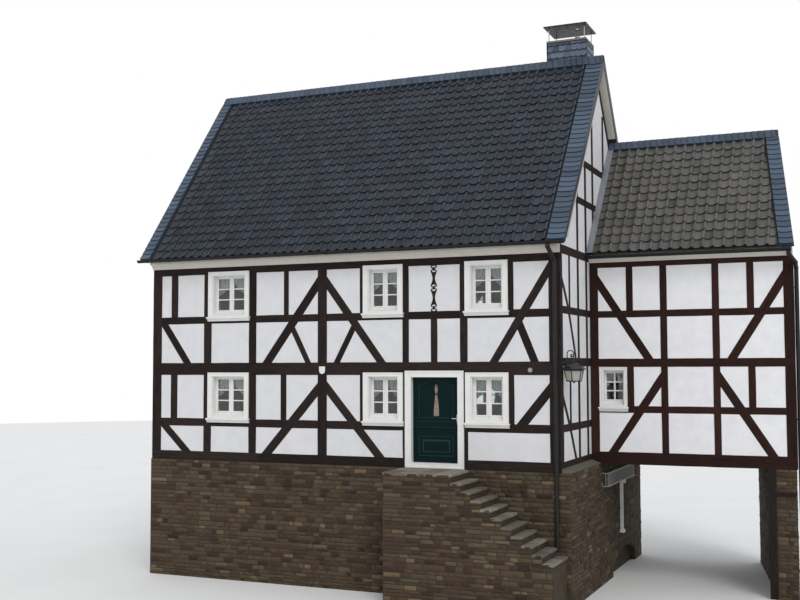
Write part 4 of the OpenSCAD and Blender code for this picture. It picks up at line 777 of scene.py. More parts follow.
def gable(plane, seed, name, *replaced):
    f = Frame2(plane, seed)
    low, mid, up = Z_RAIL_LOW + 0.024, Z_MID + 0.195, Z_RAIL_UP + 0.077
    rail_h, mid_h, post_w, half_w, edge, sill_top = 0.17, 0.19, 0.16, 0.13, TIMBER_T, Z_SILL + 0.229
    posts = [(y, y + post_w) for y in (1.54, 2.36, HOUSE_D - 2.36 - post_w,
                                       HOUSE_D - 1.54 - post_w)]
    centre = [(HALF_D + s * 0.6 - post_w / 2, HALF_D + s * 0.6 + post_w / 2) for s in (-1, 1)]
    halves = [(0.76, 0.76 + half_w), (HOUSE_D - 0.76 - half_w, HOUSE_D - 0.76)]
    f.beam(edge, HOUSE_D - edge, Z_SILL, sill_top)
    f.beam(edge, HOUSE_D - edge, mid, mid + mid_h)
    f.beam(0, HOUSE_D, Z_ATTIC, Z_EAVES)
    f.posts(posts + centre, sill_top, mid)
    f.posts(posts + centre, mid + mid_h, Z_ATTIC)
    f.posts(halves, low + rail_h, mid, -0.001)
    f.posts(halves, up + rail_h, Z_ATTIC, -0.001)
    f.rail(edge, HOUSE_D - edge, low, low + rail_h, posts + centre)
    f.rail(edge, HOUSE_D - edge, up, up + rail_h, posts + centre)
    # The rafters' lower edge rises from foot_z at foot_y to the middle
    top, foot_y, foot_z, high_rail = under_roof(HALF_D), 0.09, Z_EAVES - 0.05, Z_EAVES + 2.13
    rise = (top - 0.26 - foot_z) / (HALF_D - foot_y)
    for rail_z, crossed in ((Z_EAVES + 1.15, posts + centre), (high_rail, centre)):
        y = foot_y + (rail_z - foot_z) / rise - 0.05
        f.rail(y, HOUSE_D - y, rail_z, rail_z + rail_h, crossed)
    for a, b in posts:
        f.post(a, b, Z_EAVES, min(foot_z + min(a, HOUSE_D - b) * rise + 0.02, high_rail))
    for a, b in centre:
        f.post(a, b, Z_EAVES, under_roof(min(a, HOUSE_D - b)) - 0.28)
    for bends in (UPPER_BENT, LOWER_BENT):
        f.bent(bends, BRACE_THIN)
        f.bent([(HOUSE_D - y, z) for y, z in bends], BRACE_THIN)
    rafter = [(0.0, Z_EAVES - 0.005), (foot_y, Z_EAVES - 0.005), (HALF_D, top - 0.26),
              (HALF_D, top - 0.002), (0.0, under_roof(0) - 0.002)]
    for way, outline in ((1, rafter), (-1, mirrored(rafter, HOUSE_D))):
        hewn(f.j, plane, outline, (HALF_D * way, top - under_roof(0)), rng=f.rng, waver=0.003)
    f.make(name, timber, *replaced)


gable(RIGHT, 7, "right_gable_timbers", "right_gable_frame")
gable(LEFT, 9, "left_gable_timbers", "left_gable_frame")
for name, plane in (("right_gable_plaster", RIGHT), ("left_gable_plaster", LEFT)):
    skin = Joined()
    sides = [(TIMBER_T - 0.05, Z_SILL + 0.1), (TIMBER_T - 0.05, Z_EAVES)]
    peak = (HALF_D, under_roof(HALF_D) - 0.1)
    skin.prism([(HOUSE_D - y, z) for y, z in sides] + [peak] + sides[::-1], -0.05, 0.001 - RECESS,
               plane)
    skin.make(name, plaster, "plaster")


def wing_wall(plane, w, seed, name, *replaced):
    f = Frame2(plane, seed)
    corner, end_w, post_w, b, c = 0.2, 0.22, 0.16, 1.708, 2.923
    end, sill_top, mid_top = w - end_w, Z_SILL + WING_SILL_H, WZ_MID + WING_MID_H
    posts = [(0, corner), (b, b + post_w), (c, c + post_w), (end, w)]
    f.beam(0, w, Z_SILL, sill_top)
    f.beam(0, w, WZ_MID, mid_top)
    f.beam(0, w, WZ_PLATE, WZ_ATTIC)
    f.posts(posts, sill_top, WZ_MID)
    f.posts(posts, mid_top, WZ_PLATE)
    f.rail(0, w, WZ_LOW, WZ_LOW + WING_RAIL_H, posts)
    f.rail(0, w, WZ_UP, WZ_UP + WING_RAIL_H, posts)
    for x in (0.895, 3.715):
        if x + post_w < end:
            f.post(x, x + post_w, WZ_UP + WING_RAIL_H, WZ_PLATE, -0.001)
            f.post(x, x + post_w, WZ_LOW + WING_RAIL_H, WZ_MID, -0.001)
    up, top, low, mid = mid_top - 0.04, WZ_PLATE + 0.04, sill_top - 0.05, WZ_MID + 0.04
    f.brace((1.441, up), (-0.054, top), BRACE_W, (corner / 2, b))
    f.brace((3.335, up), (end + 0.267, top), BRACE_W, (c + post_w, w - end_w / 2))
    f.brace((0.494, low), (1.941, mid), BRACE_W, (0, b + post_w / 2))
    f.brace((end - 0.27, low), (2.866, mid), BRACE_W, (c + post_w / 2, end))
    f.make(name, timber_wing, *replaced)


wing_wall(WING_FRONT, WING_W, 11, "wing_front_timbers", "wing_front_frame")
END_RUN = math.hypot(HOUSE_D - WING_Y, WING_TAPER)
end_cos, end_sin = (HOUSE_D - WING_Y) / END_RUN, WING_TAPER / END_RUN
END_WAY, END_OUT = (-end_sin, end_cos, 0), (end_cos, end_sin, 0)
WING_END = Plane((WING_W, WING_Y, 0), END_WAY, (0, 0, 1), END_OUT)
end_beam = Frame2(WING_END, 17)
end_beam.beam(0.04, END_RUN, WZ_ATTIC, WZ_EAVES, 0.006)
end_beam.make("wing_end_beam", timber_wing)

# Plaster closing the end wall out to the eaves beside the roof's heels
WING_ROOF_V, HEEL_W = 0.18 / math.cos(WING_PITCH), 0.26
heels = Joined()
heel = [(0, WZ_EAVES - 0.01), (HEEL_W, WZ_EAVES - 0.01), (HEEL_W, wing_top(HEEL_W) - WING_ROOF_V),
        (0, wing_top(0) - WING_ROOF_V)]
for outline in (heel, mirrored(heel, END_RUN)):
    heels.prism(outline, -0.03, 0.0005, WING_END)
heels.make("wing_end_heels", plaster_wing_painted_light, "plaster")
wing_wall(BACK, WING_BACK_W, 13, "wing_back_timbers", "wing_back_frame")


# Rubble stones, laid in courses on a wall's mortar
def lay_course(j, plane, u0, u1, v, h, rng, stone, skip=None):
    u = u0
    while u < u1 - 0.02:
        w = min(rng.uniform(*stone) * (1.4 if u == u0 or rng.rand() < 0.1 else 1), u1 - u)
        if u1 - u - w < 0.07:
            w = u1 - u
        if skip is None or not skip(u + w / 2, v + h / 2):
            one_stone(j, plane, [(u, v), (u + w, v), (u + w, v + h), (u, v + h)], rng)
        u += w


def stones(j, plane, length, height, seed, course=(0.06, 0.125), stone=(0.12, 0.40), skip=None,
           start=(0.0, 0.0)):
    rng = np.random.RandomState(seed)
    v = 0.0
    while v < height - 0.02:
        h = min(rng.uniform(*course), height - v)
        if height - v - h < 0.05:
            h = height - v
        lay_course(j, plane, start[0], start[0] + length, start[1] + v, h, rng, stone, skip)
        v += h


def one_stone(j, plane, corners, rng, out=0.0):
    """A stone with broken corners on a four-sided outline, standing a little out of its mortar."""
    corners = np.array(corners, float)
    middle = corners.mean(axis=0)
    sides = np.hypot(*(np.roll(corners, -1, axis=0) - corners).T)
    joint = 1 - 2 * 0.005 / sides[:2]
    axes = [(corners[1] - corners[0]) / sides[0], (corners[3] - corners[0]) / sides[3]]
    if abs(axes[0] @ axes[1]) < 1e-6:
        corners = middle + sum(np.outer((corners - middle) @ a * share, a)
                               for a, share in zip(axes, joint))
    else:
        corners = middle + (corners - middle) * joint.min()
    ring = []
    for i, here in enumerate(corners):
        for other in (corners[i - 1], corners[(i + 1) % 4]):
            way = other - here
            far = np.hypot(*way)
            ring.append(here + way / far * min(0.35 * far, rng.uniform(0.01, 0.028)))
    ring = np.array(ring) + rng.uniform(-0.003, 0.003, (8, 2))
    high = out + rng.uniform(0.006, 0.015)
    inner = middle + (ring - middle) * rng.uniform(0.78, 0.9, (8, 1))
    points = [[*p, -0.004] for p in ring]
    points += [[*p, high + rng.uniform(-0.003, 0.002)] for p in inner] + [[*middle, high + 0.003]]
    faces = ring_faces(8, 2) + [[8 + i, 8 + (i + 1) % 8, 16] for i in range(8)]
    j.add(points, faces, plane, rng.beta(2, 2.2))


STEP_X1, STEP_X0, STEP_TOP = -2.21, -3.845, 2.95
RISE, GOING, STEPS, STEP_W = 0.18, 0.23, 10, 1.15
ARCH_Y, ARCH_HALF, ARCH_Z, ARCH_R, VOUSSOIR = 5.42, 1.36, -2.568, 3.15, 0.2


def behind_steps(u, v):
    if u < STEP_X0 or v > STEP_TOP:
        return False
    if u < STEP_X1:
        return True
    return v < STEP_TOP - RISE * math.ceil((u - STEP_X1) / GOING) and \
        u < STEP_X1 + STEPS * GOING


def in_arch(u, v):
    """Inside the arched recess, or behind the stones that ring it."""
    return abs(u - ARCH_Y) < ARCH_HALF + 0.08 and \
        math.hypot(u - ARCH_Y, v - ARCH_Z) < ARCH_R + VOUSSOIR * 0.7


base_w, base_d = HOUSE_W + BASE_RIGHT, HOUSE_D - 2 * BASE_FRONT
walls = [("front", upright("front", BASE_FRONT), base_w, (-HOUSE_W, 0), behind_steps),
         ("back", upright("back", HOUSE_D - BASE_FRONT), base_w, (-HOUSE_W, 0), None),
         ("right", upright("right", BASE_RIGHT), base_d, (BASE_FRONT, 0), in_arch),
         ("left", LEFT, base_d, (BASE_FRONT, 0), None)]
for seed, (name, plane, length, start, skip) in enumerate(walls):
    j = Joined()
    stones(j, plane, length, STONE_TOP, 21 + seed, skip=skip, start=start)
    if skip is in_arch:
        ring_rng = np.random.RandomState(20)
        spread = math.asin(ARCH_HALF / ARCH_R)
        turns = np.linspace(-spread, spread, 22)
        for t0, t1 in zip(turns, turns[1:]):
            r1 = ARCH_R + VOUSSOIR * ring_rng.uniform(0.85, 1.1)
            one_stone(j, plane, [(ARCH_Y + r * math.sin(t), ARCH_Z + r * math.cos(t))
                                 for r, t in ((ARCH_R, t0), (ARCH_R, t1), (r1, t1), (r1, t0))],
                      ring_rng, 0.012)
    j.make(f"base_{name}_stones", rubble, "rubble", crease=50)

# Stones of the wing's pier: its outer and inner faces along the skew line, and its ends
PIER_T, PIER_X, PIER_FRONT_W = 0.45, 4.275, 0.435
pier = Joined()
pier_y0 = WING_Y + TIMBER_T
pier_run = (HOUSE_D - pier_y0) / end_cos
outer = Plane((end_x(pier_y0), pier_y0, 0), END_WAY, (0, 0, 1), END_OUT)
inner = Plane((end_x(pier_y0) - PIER_T, pier_y0, 0), END_WAY, (0, 0, 1), [-c for c in END_OUT])
stones(pier, outer, pier_run, STONE_TOP, 31)
stones(pier, inner, pier_run, STONE_TOP, 32)
stones(pier, BACK, PIER_T, STONE_TOP, 33, start=(end_x(HOUSE_D) - PIER_T, 0))
pier_front = upright("front", WING_Y + 0.015)
for high, seed, foot in ((2.33, 34, 0), (0.52, 35, 2.435)):
    stones(pier, pier_front, PIER_FRONT_W, high, seed, start=(PIER_X, foot), stone=(0.1, 0.24))
pier.make("wing_pier_stones", rubble, "rubble", crease=50)

# Steps: side stones, treads and flags of the landing
STEP_Y = BASE_FRONT - STEP_W
flight = Joined()
side_front = upright("front", STEP_Y)
flight_rng = np.random.RandomState(41)
for k in range(STEPS + 1):
    high, end = STEP_TOP - k * RISE, STEP_X1 + k * GOING
    split = RISE * flight_rng.uniform(0.4, 0.6)
    lay_course(flight, side_front, STEP_X0, end, high - split, split, flight_rng, (0.14, 0.4))
    lay_course(flight, side_front, STEP_X0, end, high - RISE, RISE - split, flight_rng, (0.14, 0.4))
stones(flight, side_front, end - STEP_X0, high - RISE, 42, start=(STEP_X0, 0))
stones(flight, upright("left", STEP_X0), STEP_W, STEP_TOP, 61, start=(STEP_Y, 0))
flight.make("step_stones", rubble, "rubble", crease=50)
treads = Joined()
tread_rng = np.random.RandomState(62)


def slab(x0, x1, y0, y1, z):
    hewn(treads, level(z + 0.006), box2(x0, x1, y0, y1), (0, 1), 0.0, 0.055,
         tread_rng.uniform(0, 1), tread_rng, 0.003, 0.008)


for k in range(STEPS):
    x = STEP_X1 + k * GOING
    cut = BASE_FRONT - STEP_W * tread_rng.uniform(0.35, 0.65)
    for y0, y1 in ((STEP_Y - 0.012, cut - 0.002), (cut + 0.002, BASE_FRONT)):
        slab(x + 0.002, x + GOING + 0.022, y0, y1, STEP_TOP - (k + 1) * RISE)
flags_x = np.linspace(STEP_X0 - 0.012, STEP_X1 + 0.02, 5)
for a, b in zip(flags_x, flags_x[1:]):
    cut = BASE_FRONT - STEP_W * tread_rng.uniform(0.3, 0.7)
    for y0, y1 in ((STEP_Y - 0.012, cut), (cut, BASE_FRONT)):
        slab(a + 0.003, b - 0.003, y0 + 0.003, y1 - 0.003, STEP_TOP)
treads.make("step_treads", step_stone, "rubble", crease=30)


# Roofs: a low deck, and pantiles laid on it
def slope(y, eave_z, up_y, pitch):
    """Plane of a roof slope from its eave; up_y is 1 where it rises towards the back."""
    c, s = math.cos(pitch), math.sin(pitch)
    return Plane((0, y, eave_z), (1, 0, 0), (0, up_y * c, s), (0, -up_y * s, c))


MAIN_FRONT = slope(-EAVES_OUT, roof_top(-EAVES_OUT), 1, PITCH)
MAIN_BACK = slope(HOUSE_D + EAVES_OUT, roof_top(-EAVES_OUT), -1, PITCH)
WING_SLOPE_F = slope(WING_Y - WING_EAVES, wing_top(-WING_EAVES), 1, WING_PITCH)
WING_SLOPE_B = slope(HOUSE_D + WING_EAVES, wing_top(-WING_EAVES), -1, WING_PITCH)
MAIN_RUN = (HALF_D + EAVES_OUT) / math.cos(PITCH)
WING_RUN = (WING_HALF + WING_EAVES) / math.cos(WING_PITCH)
TILE_ACROSS = [(0.0, 0.42), (0.07, 0.24), (0.16, 0.09), (0.28, 0.01), (0.42, 0.0), (0.55, 0.07),
               (0.67, 0.24), (0.77, 0.52), (0.86, 0.85), (0.93, 1.0), (0.99, 0.97), (1.04, 0.8)]
# Painted light across each tile: the roll's top and right flank lighter as painted highlight, the
# edge beside the neighbour's roll darker as painted shade.
TILE_PAINTED_LIGHT = np.array([-0.3, -0.22, -0.08, 0, 0, 0, 0, 0, 0.06, 0.2, 0.4, 0.3])
TILE_HIGH, TILE_BASE, TILE_THICK = 0.062, -0.056, 0.015


def pantiles(j, plane, x0, x1, run, gauge, width, seed, shade=0.8, right_edge=None,
             start=0.03, hole=None):
    rng = np.random.RandomState(seed)
    columns = max(1, round((x1 - x0) / width))
    width = (x1 - x0) / columns
    rows = math.floor((run - start - 0.25) / gauge) + 1
    count = len(TILE_ACROSS)
    across = np.array(TILE_ACROSS)
    faces = tile_faces(count)
    faces.append([5 * count, 4 * count - 1, 3 * count - 1, 2 * count - 1, count - 1, 5 * count - 1])
    for r in range(rows):
        low = start + r * gauge
        high = min(low + gauge + 0.05, run)
        for c in range(columns):
            left = x0 + c * width
            if right_edge and left + 0.05 > right_edge(low):
                break
            mid_x, mid_v = left + width / 2, low + gauge / 2
            if hole and hole[0] < mid_x < hole[1] and hole[2] < mid_v < hole[3]:
                continue
            sway, lift = rng.uniform(-0.003, 0.003), rng.uniform(0.026, 0.036)
            tail = low + rng.uniform(-0.006, 0.006)
            x = left + across[:, 0] * width
            z = TILE_BASE + across[:, 1] * TILE_HIGH
            rings = []
            for v in (tail, low + gauge - 0.05, low + gauge - 0.006, high):
                up = (high - v) / (high - tail)
                reach = x + sway * up
                if right_edge:
                    reach = np.minimum(reach, right_edge(v))
                rings.append(np.column_stack([reach, np.full(count, v), z + lift * up]))
            under = rings[0] + (0, 0.003, -TILE_THICK)
            corner = rings[-1][-1] - (0, 0, TILE_THICK)
            points = np.concatenate([*rings, under, [corner]])
            tone = rng.beta(2.4, 2.4) * 0.8 + 0.1
            # Painted highlight and shade across the tile, scaled by shade.
            tone = np.clip(tone + TILE_PAINTED_LIGHT * shade, 0.12, 1.0)
            # Painted shade: the tone falls to a fifth just below the next row's tail, and to the
            # darkest end of the ramp on the covered part and the tail's edge.
            tones = np.concatenate([tone, tone, tone * 0.2, np.zeros(2 * count + 1)])
            j.add(points, faces, plane, tones)


def deck(j, plane, pitch, run, x0, x1, top_x1=None):
    """The roof's body under its tiles, cut off upright at the ridge; top_x1 is for a skew end."""
    drop, thick, edge = 0.06, 0.14, 0.02
    far = x1 if top_x1 is None else top_x1
    high, low = (run - n * math.tan(pitch) for n in (drop, drop + thick))
    points = [(x0, 0, -drop), (x1, 0, -drop), (far, high, -drop), (x0, high, -drop),
              (x0, 0, -drop - edge), (x1, 0, -drop - edge), (far, low, -drop - thick),
              (x0, low, -drop - thick)]
    faces = [[0, 1, 2, 3], [7, 6, 5, 4], [0, 4, 5, 1], [1, 5, 6, 2], [3, 7, 4, 0], [2, 6, 7, 3]]
    j.add(points, faces, plane, 0.5)


CHIMNEY = (-1.314, -0.284, 3.83, 4.68)
GAUGE, WING_GAUGE, TILE_W, GAP_W = 0.29, 0.3, 0.245, 0.06
LEFT_VERGE_W, LEFT_GAP = 0.30, 0.09
FIELD = (-HOUSE_W - VERGE_OUT + LEFT_VERGE_W + LEFT_GAP, VERGE_OUT - VERGE_W - GAP_W)
TOP_GAP = 0.2
LAID = (*FIELD, MAIN_RUN - TOP_GAP, GAUGE, TILE_W)
cos_w, STRIP_W, WING_GAP = math.cos(WING_PITCH), 0.32, 0.04
front_end, back_corner = end_x(WING_Y - WING_EAVES), end_x(HOUSE_D + WING_EAVES)
ridge_end = end_x(WING_Y + WING_HALF)


def tiled(name, paint, slot, node, *laid, **more):
    field = Joined()
    pantiles(field, *laid, **more)
    field.make(name, paint, slot, node)


def wing_edge(eave_y, way):
    """Function that says where the tiles of a wing's slope stop, at a distance up the slope."""
    return lambda v: end_x(eave_y + way * v * cos_w) - STRIP_W - WING_GAP


tiled("front_pantiles", tiles, "pantile", "roof_front", MAIN_FRONT, *LAID, 71)
tiled("back_pantiles", tiles, "pantile", "roof_back", MAIN_BACK, *LAID, 72,
      hole=(CHIMNEY[0], CHIMNEY[1], (HOUSE_D + EAVES_OUT - CHIMNEY[3]) / math.cos(PITCH), MAIN_RUN))
WING_LAID, WING_PAINTED_LIGHT = (0.1, 4.73, WING_RUN - TOP_GAP, WING_GAUGE, TILE_W), 0.45
tiled("wing_front_pantiles", old_tiles, "old_pantile", "wing_roof_front", WING_SLOPE_F, *WING_LAID,
      73, WING_PAINTED_LIGHT, wing_edge(WING_Y - WING_EAVES, 1))
tiled("wing_back_pantiles", old_tiles, "old_pantile", "wing_roof_back", WING_SLOPE_B, *WING_LAID,
      74, WING_PAINTED_LIGHT, wing_edge(HOUSE_D + WING_EAVES, -1))

body = Joined()
for plane in (MAIN_FRONT, MAIN_BACK):
    deck(body, plane, PITCH, MAIN_RUN, -HOUSE_W - VERGE_OUT, VERGE_OUT)
deck(body, WING_SLOPE_F, WING_PITCH, WING_RUN, 0, front_end, ridge_end)
deck(body, WING_SLOPE_B, WING_PITCH, WING_RUN, 0, back_corner, ridge_end)
body.make("roof_decks", deck_painted_shade, "pantile")


# Slates, laid in rows with lifted tails; a tail is how far its edge lies above the row's line
TAIL_AT = np.array([0.0, 0.12, 0.35, 0.6, 0.85, 1.0])
ROUND_TAIL = np.array([0.026, 0.011, 0.0, -0.004, 0.008, 0.026])
SLANT_TAIL = np.array([0.034, 0.024, 0.006, -0.012, -0.024, -0.026])


def slates(j, plane, x0, x1, run, gauge, width, seed, base=0.008, thick=0.009, lap=0.6,
           shift=0.0, first=0.0, lean=0.0, tail=ROUND_TAIL):
    rng = np.random.RandomState(seed)
    count = len(TAIL_AT)
    faces = tile_faces(count)
    faces += [[4 * count, 0, count, 2 * count, 3 * count],
              [4 * count - 1, 3 * count - 1, 2 * count - 1, count - 1, 5 * count - 1]]
    for r in range(math.ceil(run / gauge)):
        low = first + r * gauge
        tall = min(gauge * (1 + lap), first + run - low + 0.02)
        off = shift * low
        x = x0
        while x < x1 - 0.02:
            w = width * rng.uniform(0.82, 1.18)
            if x == x0 and r % 2:
                w *= 0.55
            if x1 - x - w < width * 0.4:
                w = x1 - x
            slant = (shift * tall + lean) / tall
            lift, tone = rng.uniform(0.014, 0.02), rng.uniform(0.15, 1)
            edge = tail + rng.uniform(-0.003, 0.003)
            rings = []
            for v in (edge, edge + min(gauge - 0.035, tall * 0.5),
                      edge + min(gauge - 0.006, tall * 0.8), np.full(count, tall)):
                v = np.clip(v, first - low, tall)
                u = x + off + 0.0015 + (w - 0.003) * TAIL_AT + slant * v
                rings.append(np.column_stack([u, low + v, base + lift * (1 - v / tall)]))
            points = np.concatenate([*rings, rings[0] - (0, 0, thick)])
            # Painted shadow: from just below the next row's tail upwards, and on the tail's edge,
            # the tone goes to the near black end of the ramp.
            tones = np.repeat([tone, tone, -0.5, -0.5, -0.5], count)
            j.add(points, faces, plane, tones)
            x += w


STRIP_TOP = 0.016


def strip_bed(j, plane, x0, x1, v0, v1, shift=0.0):
    """Solid bed under a strip of slates."""
    j.prism([(x + shift * v, v) for x, v in box2(x0, x1, v0, v1)], -0.05, STRIP_TOP, plane, 0.25)


RIDGE_RUN = RIDGE_W / math.cos(PITCH)
WING_RIDGE_RUN = RIDGE_W / math.cos(WING_PITCH)
VERGE_GAUGE, WING_VERGE_GAUGE = 0.17, 0.19
verge = Joined()
run = MAIN_RUN - RIDGE_RUN
for plane in (MAIN_FRONT, MAIN_BACK):
    for x0, wide, seed in ((-HOUSE_W - VERGE_OUT, LEFT_VERGE_W, 81),
                           (VERGE_OUT - VERGE_W, VERGE_W, 82)):
        strip_bed(verge, plane, x0, x0 + wide, 0, run)
        slates(verge, plane, x0 + 0.002, x0 + wide - 0.002, run, VERGE_GAUGE, 0.5, seed, STRIP_TOP)
run = WING_RUN - WING_RIDGE_RUN
for plane, x1, way, seed in ((WING_SLOPE_F, front_end, -1, 85), (WING_SLOPE_B, back_corner, 1, 86)):
    shift = way * WING_SKEW * cos_w
    strip_bed(verge, plane, x1 - STRIP_W, x1, 0, run, shift)
    slates(verge, plane, x1 - STRIP_W, x1 - 0.002, run, WING_VERGE_GAUGE, 0.5, seed, STRIP_TOP,
           shift=shift)
verge.make("verge_slate_rows", slate, "slate", "verge_slates", crease=25)


def ridge(j, plane_pair, x0, x1, run, ridge_run, seed, gap=None):
    """Slates along both sides of a ridge, lapping along its length; a gap is cut at the back."""
    for side, plane in enumerate(plane_pair):
        along = Plane(plane.o + plane.u * (run - ridge_run), plane.u, plane.r, plane.n)
        pieces = [(x0, gap[0]), (gap[1], x1)] if gap and side else [(x0, x1)]
        for a, b in pieces:
            strip_bed(j, along, 0, ridge_run, a, b)
            slates(j, along, 0, ridge_run + 0.004 * side, b - a, 0.16, 0.6, seed + side,
                   STRIP_TOP, first=a, tail=SLANT_TAIL)


tops = Joined()
ridge(tops, (MAIN_FRONT, MAIN_BACK), -HOUSE_W - VERGE_OUT + 0.002, VERGE_OUT - 0.02, MAIN_RUN,
      RIDGE_RUN, 91, (CHIMNEY[0], CHIMNEY[1]))
ridge(tops, (WING_SLOPE_F, WING_SLOPE_B), 0.01, ridge_end - 0.02, WING_RUN, WING_RIDGE_RUN, 95)
tops.make("ridge_slate_rows", ridge_slate, "slate", "ridge_slates", crease=25)

# Slates on the chimney's four faces
shaft = Joined()
x0, x1, y0, y1 = CHIMNEY
COVER_UNDER = roof_top(HALF_D) + 0.51
foot = roof_top(HOUSE_D - y1) - 0.05
shaft_faces = [Plane((x0, y0, roof_top(HALF_D) - 0.09), (1, 0, 0), (0, 0, 1), (0, -1, 0)),
               Plane((x1, y0, foot), (0, 1, 0), (0, 0, 1), (1, 0, 0)),
               Plane((x1, y1, foot), (-1, 0, 0), (0, 0, 1), (0, 1, 0)),
               Plane((x0, y1, foot), (0, -1, 0), (0, 0, 1), (-1, 0, 0))]
for k, plane in enumerate(shaft_faces):
    wide = (x1 - x0) if k % 2 == 0 else (y1 - y0)
    slates(shaft, plane, -0.004, wide + 0.004, COVER_UNDER - 0.025 - plane.o[2], 0.175, 0.17,
           101 + k, 0.001, 0.006, 0.35, lean=0.05)
shaft.make("chimney_slates", chimney_slate, "slate", crease=25)


# Windows: glazing bars on the panes, and mouldings round the casings
def sweep(j, plane, rect, profile, tone=0.5):
    """A mitred moulding along a rectangle: profile points are distances in, and heights out."""
    x0, x1, z0, z1 = rect
    rings = []
    for d, n in profile:
        dx, dz0, dz1 = d if isinstance(d, tuple) else (d, d, d)
        rings += [(x0 + dx, z0 + dz0, n), (x1 - dx, z0 + dz0, n), (x1 - dx, z1 - dz1, n),
                  (x0 + dx, z1 - dz1, n)]
    j.add(rings, ring_faces(4, len(profile)), plane, tone)


def glazing_bar(j, plane, x0, x1, z0, z1, out, tall=False):
    """A bar with bevelled edges, level or standing tall."""
    a, b, ends = (x0, x1, (z0, z1)) if tall else (z0, z1, (x0, x1))
    mid, half = (a + b) / 2, (b - a) / 2
    section = [(-half, -0.009), (-half, 0.004), (-half * 0.35, 0.016), (half * 0.35, 0.016),
               (half, 0.004), (half, -0.009)]
    points = [(mid + s, end, out + n) if tall else (end, mid + s, out + n)
              for end in ends for s, n in section]
    j.add(points, [f[::-1] if tall else f for f in ring_faces(6, 2)], plane)


CASINGS = [(8.07, 1.21), (3.84, 1.04), (1.225, 1.045)]
FEET, GLASS_N, WINDOW_H = [4.033, 6.611], -0.15, 1.16
WING_MULLION, BAR_HALF, BEAD_W = 0.035, 0.016, 0.03
# Of each window: its plane, sides, foot and head, and the widths of its casing's side, stile,
# mullion and casing's head
WINDOWS = [(plane, -c[0] - c[1], -c[0], z, z + WINDOW_H, 0.135, 0.058, 0.125, 0.1)
           for plane in (FRONT, BACK) for c in CASINGS for z in FEET]
WINDOWS += [(plane, 0.218, 0.893, 4.335, 5.287, 0.078, 0.038, WING_MULLION, 0.055)
            for plane in (WING_FRONT, BACK)]


SILL_BOARD, LINING, SASH_RAIL = 0.119, 0.018, 0.058


def pane_edges(x0, x1, z0, z1, side, stile, mullion, head):
    """Where a window's two panes begin and end across it, and their foot and head."""
    inset = side + LINING + stile
    middle = (x0 + x1) / 2
    return [(x0 + inset, middle - mullion / 2), (middle + mullion / 2, x1 - inset)], \
        z0 + SILL_BOARD + SASH_RAIL, z1 - head - LINING - SASH_RAIL


bars = Joined()
for plane, x0, x1, z0, z1, side, stile, mullion, head in WINDOWS:
    panes, low, high = pane_edges(x0, x1, z0, z1, side, stile, mullion, head)
    for a, b in panes:
        for z in (low + (high - low) * k / 3 for k in (1, 2)):
            glazing_bar(bars, plane, a - 0.004, b + 0.004, z - BAR_HALF, z + BAR_HALF, GLASS_N)
        sweep(bars, plane, (a - BEAD_W, b + BEAD_W, low - BEAD_W, high + BEAD_W),
              [(d, GLASS_N + n) for d, n in ((0.0, 0.0201), (0.004, 0.027), (0.014, 0.027),
                                             (0.03, 0.0205), (0.034, 0.006), (0.034, 0))])
    if mullion > WING_MULLION:
        middle = (x0 + x1) / 2
        glazing_bar(bars, plane, middle - 0.022, middle + 0.022, low - 0.055, high + 0.055,
                    GLASS_N + 0.022, True)
    proud, rim = 0.03, (side, 0.052, head)
    sweep(bars, plane, (x0, x1, z0, z1),
          [(d, proud + n) for d, n in ((0.0, -0.002), (0.0, 0.008), (0.004, 0.011), (0.018, 0.011),
                                       (0.024, 0.005), (0.036, 0.004), (0.042, 0))])
    sweep(bars, plane, (x0, x1, z0, z1),
          [(tuple(r + d for r in rim), proud + n) for d, n in
           ((-0.022, 0), (-0.018, 0.007), (-0.006, 0.007), (0, -0.002), (0.001, -0.02))])
bars.make("window_mouldings", white, "white_paint", crease=30)

# Door: a moulding round the casing, and beads on the leaf
door_trim = Joined()
sweep(door_trim, FRONT, (-3.785, -2.31, 2.965, 5.235),
      [(0.0, 0.028), (0.0, 0.04), (0.006, 0.044), (0.03, 0.044), (0.042, 0.036), (0.06, 0.035),
       (0.068, 0.03)])
door_trim.make("door_casing_moulding", white, "white_paint", crease=30)


def tube(j, path, r):
    """A round bar along a path of points."""
    path = np.array(path, float)
    ways = unit(np.gradient(path, axis=0))
    points = []
    side = np.cross(ways[0], (0.31, 0.17, 0.93))
    for p, way in zip(path, ways):
        side = unit(side - way * np.dot(side, way))
        other = np.cross(way, side)
        points += [p + r * (math.cos(a) * side + math.sin(a) * other)
                   for a in np.arange(8) * math.tau / 8]
    j.add(points, ring_faces(8, len(path), True))


LEAF_LOW, DOOR_MID = 3.093, -3.0475
PANEL_Y, PENDANT_Z, LANTERN_Z = 0.132, LEAF_LOW + 1.077, 2.3
BEAD_Y, BEAD_HALF, BEAD_LOW, BEAD_HIGH = 0.116, 0.423, LEAF_LOW + 1.04, LEAF_LOW + 1.817
leaf_trim = Joined()
tube(leaf_trim, [(DOOR_MID + x, BEAD_Y,
                  BEAD_HIGH + 0.1 * (1 + math.cos(math.pi * abs(x) / BEAD_HALF)) / 2
                  - 0.02 * abs(math.sin(math.tau * x / BEAD_HALF)))
                 for x in np.arange(-16, 17) * BEAD_HALF / 16], 0.011)
bead_x = (DOOR_MID - BEAD_HALF, DOOR_MID + BEAD_HALF)
for x in bead_x:
    tube(leaf_trim, [(x, BEAD_Y, BEAD_LOW), (x, BEAD_Y, BEAD_HIGH)], 0.011)
tube(leaf_trim, [(x, BEAD_Y, BEAD_LOW) for x in bead_x], 0.011)
LEAF_FACE, RAIL_HALF = upright("front", 0.118), 0.52
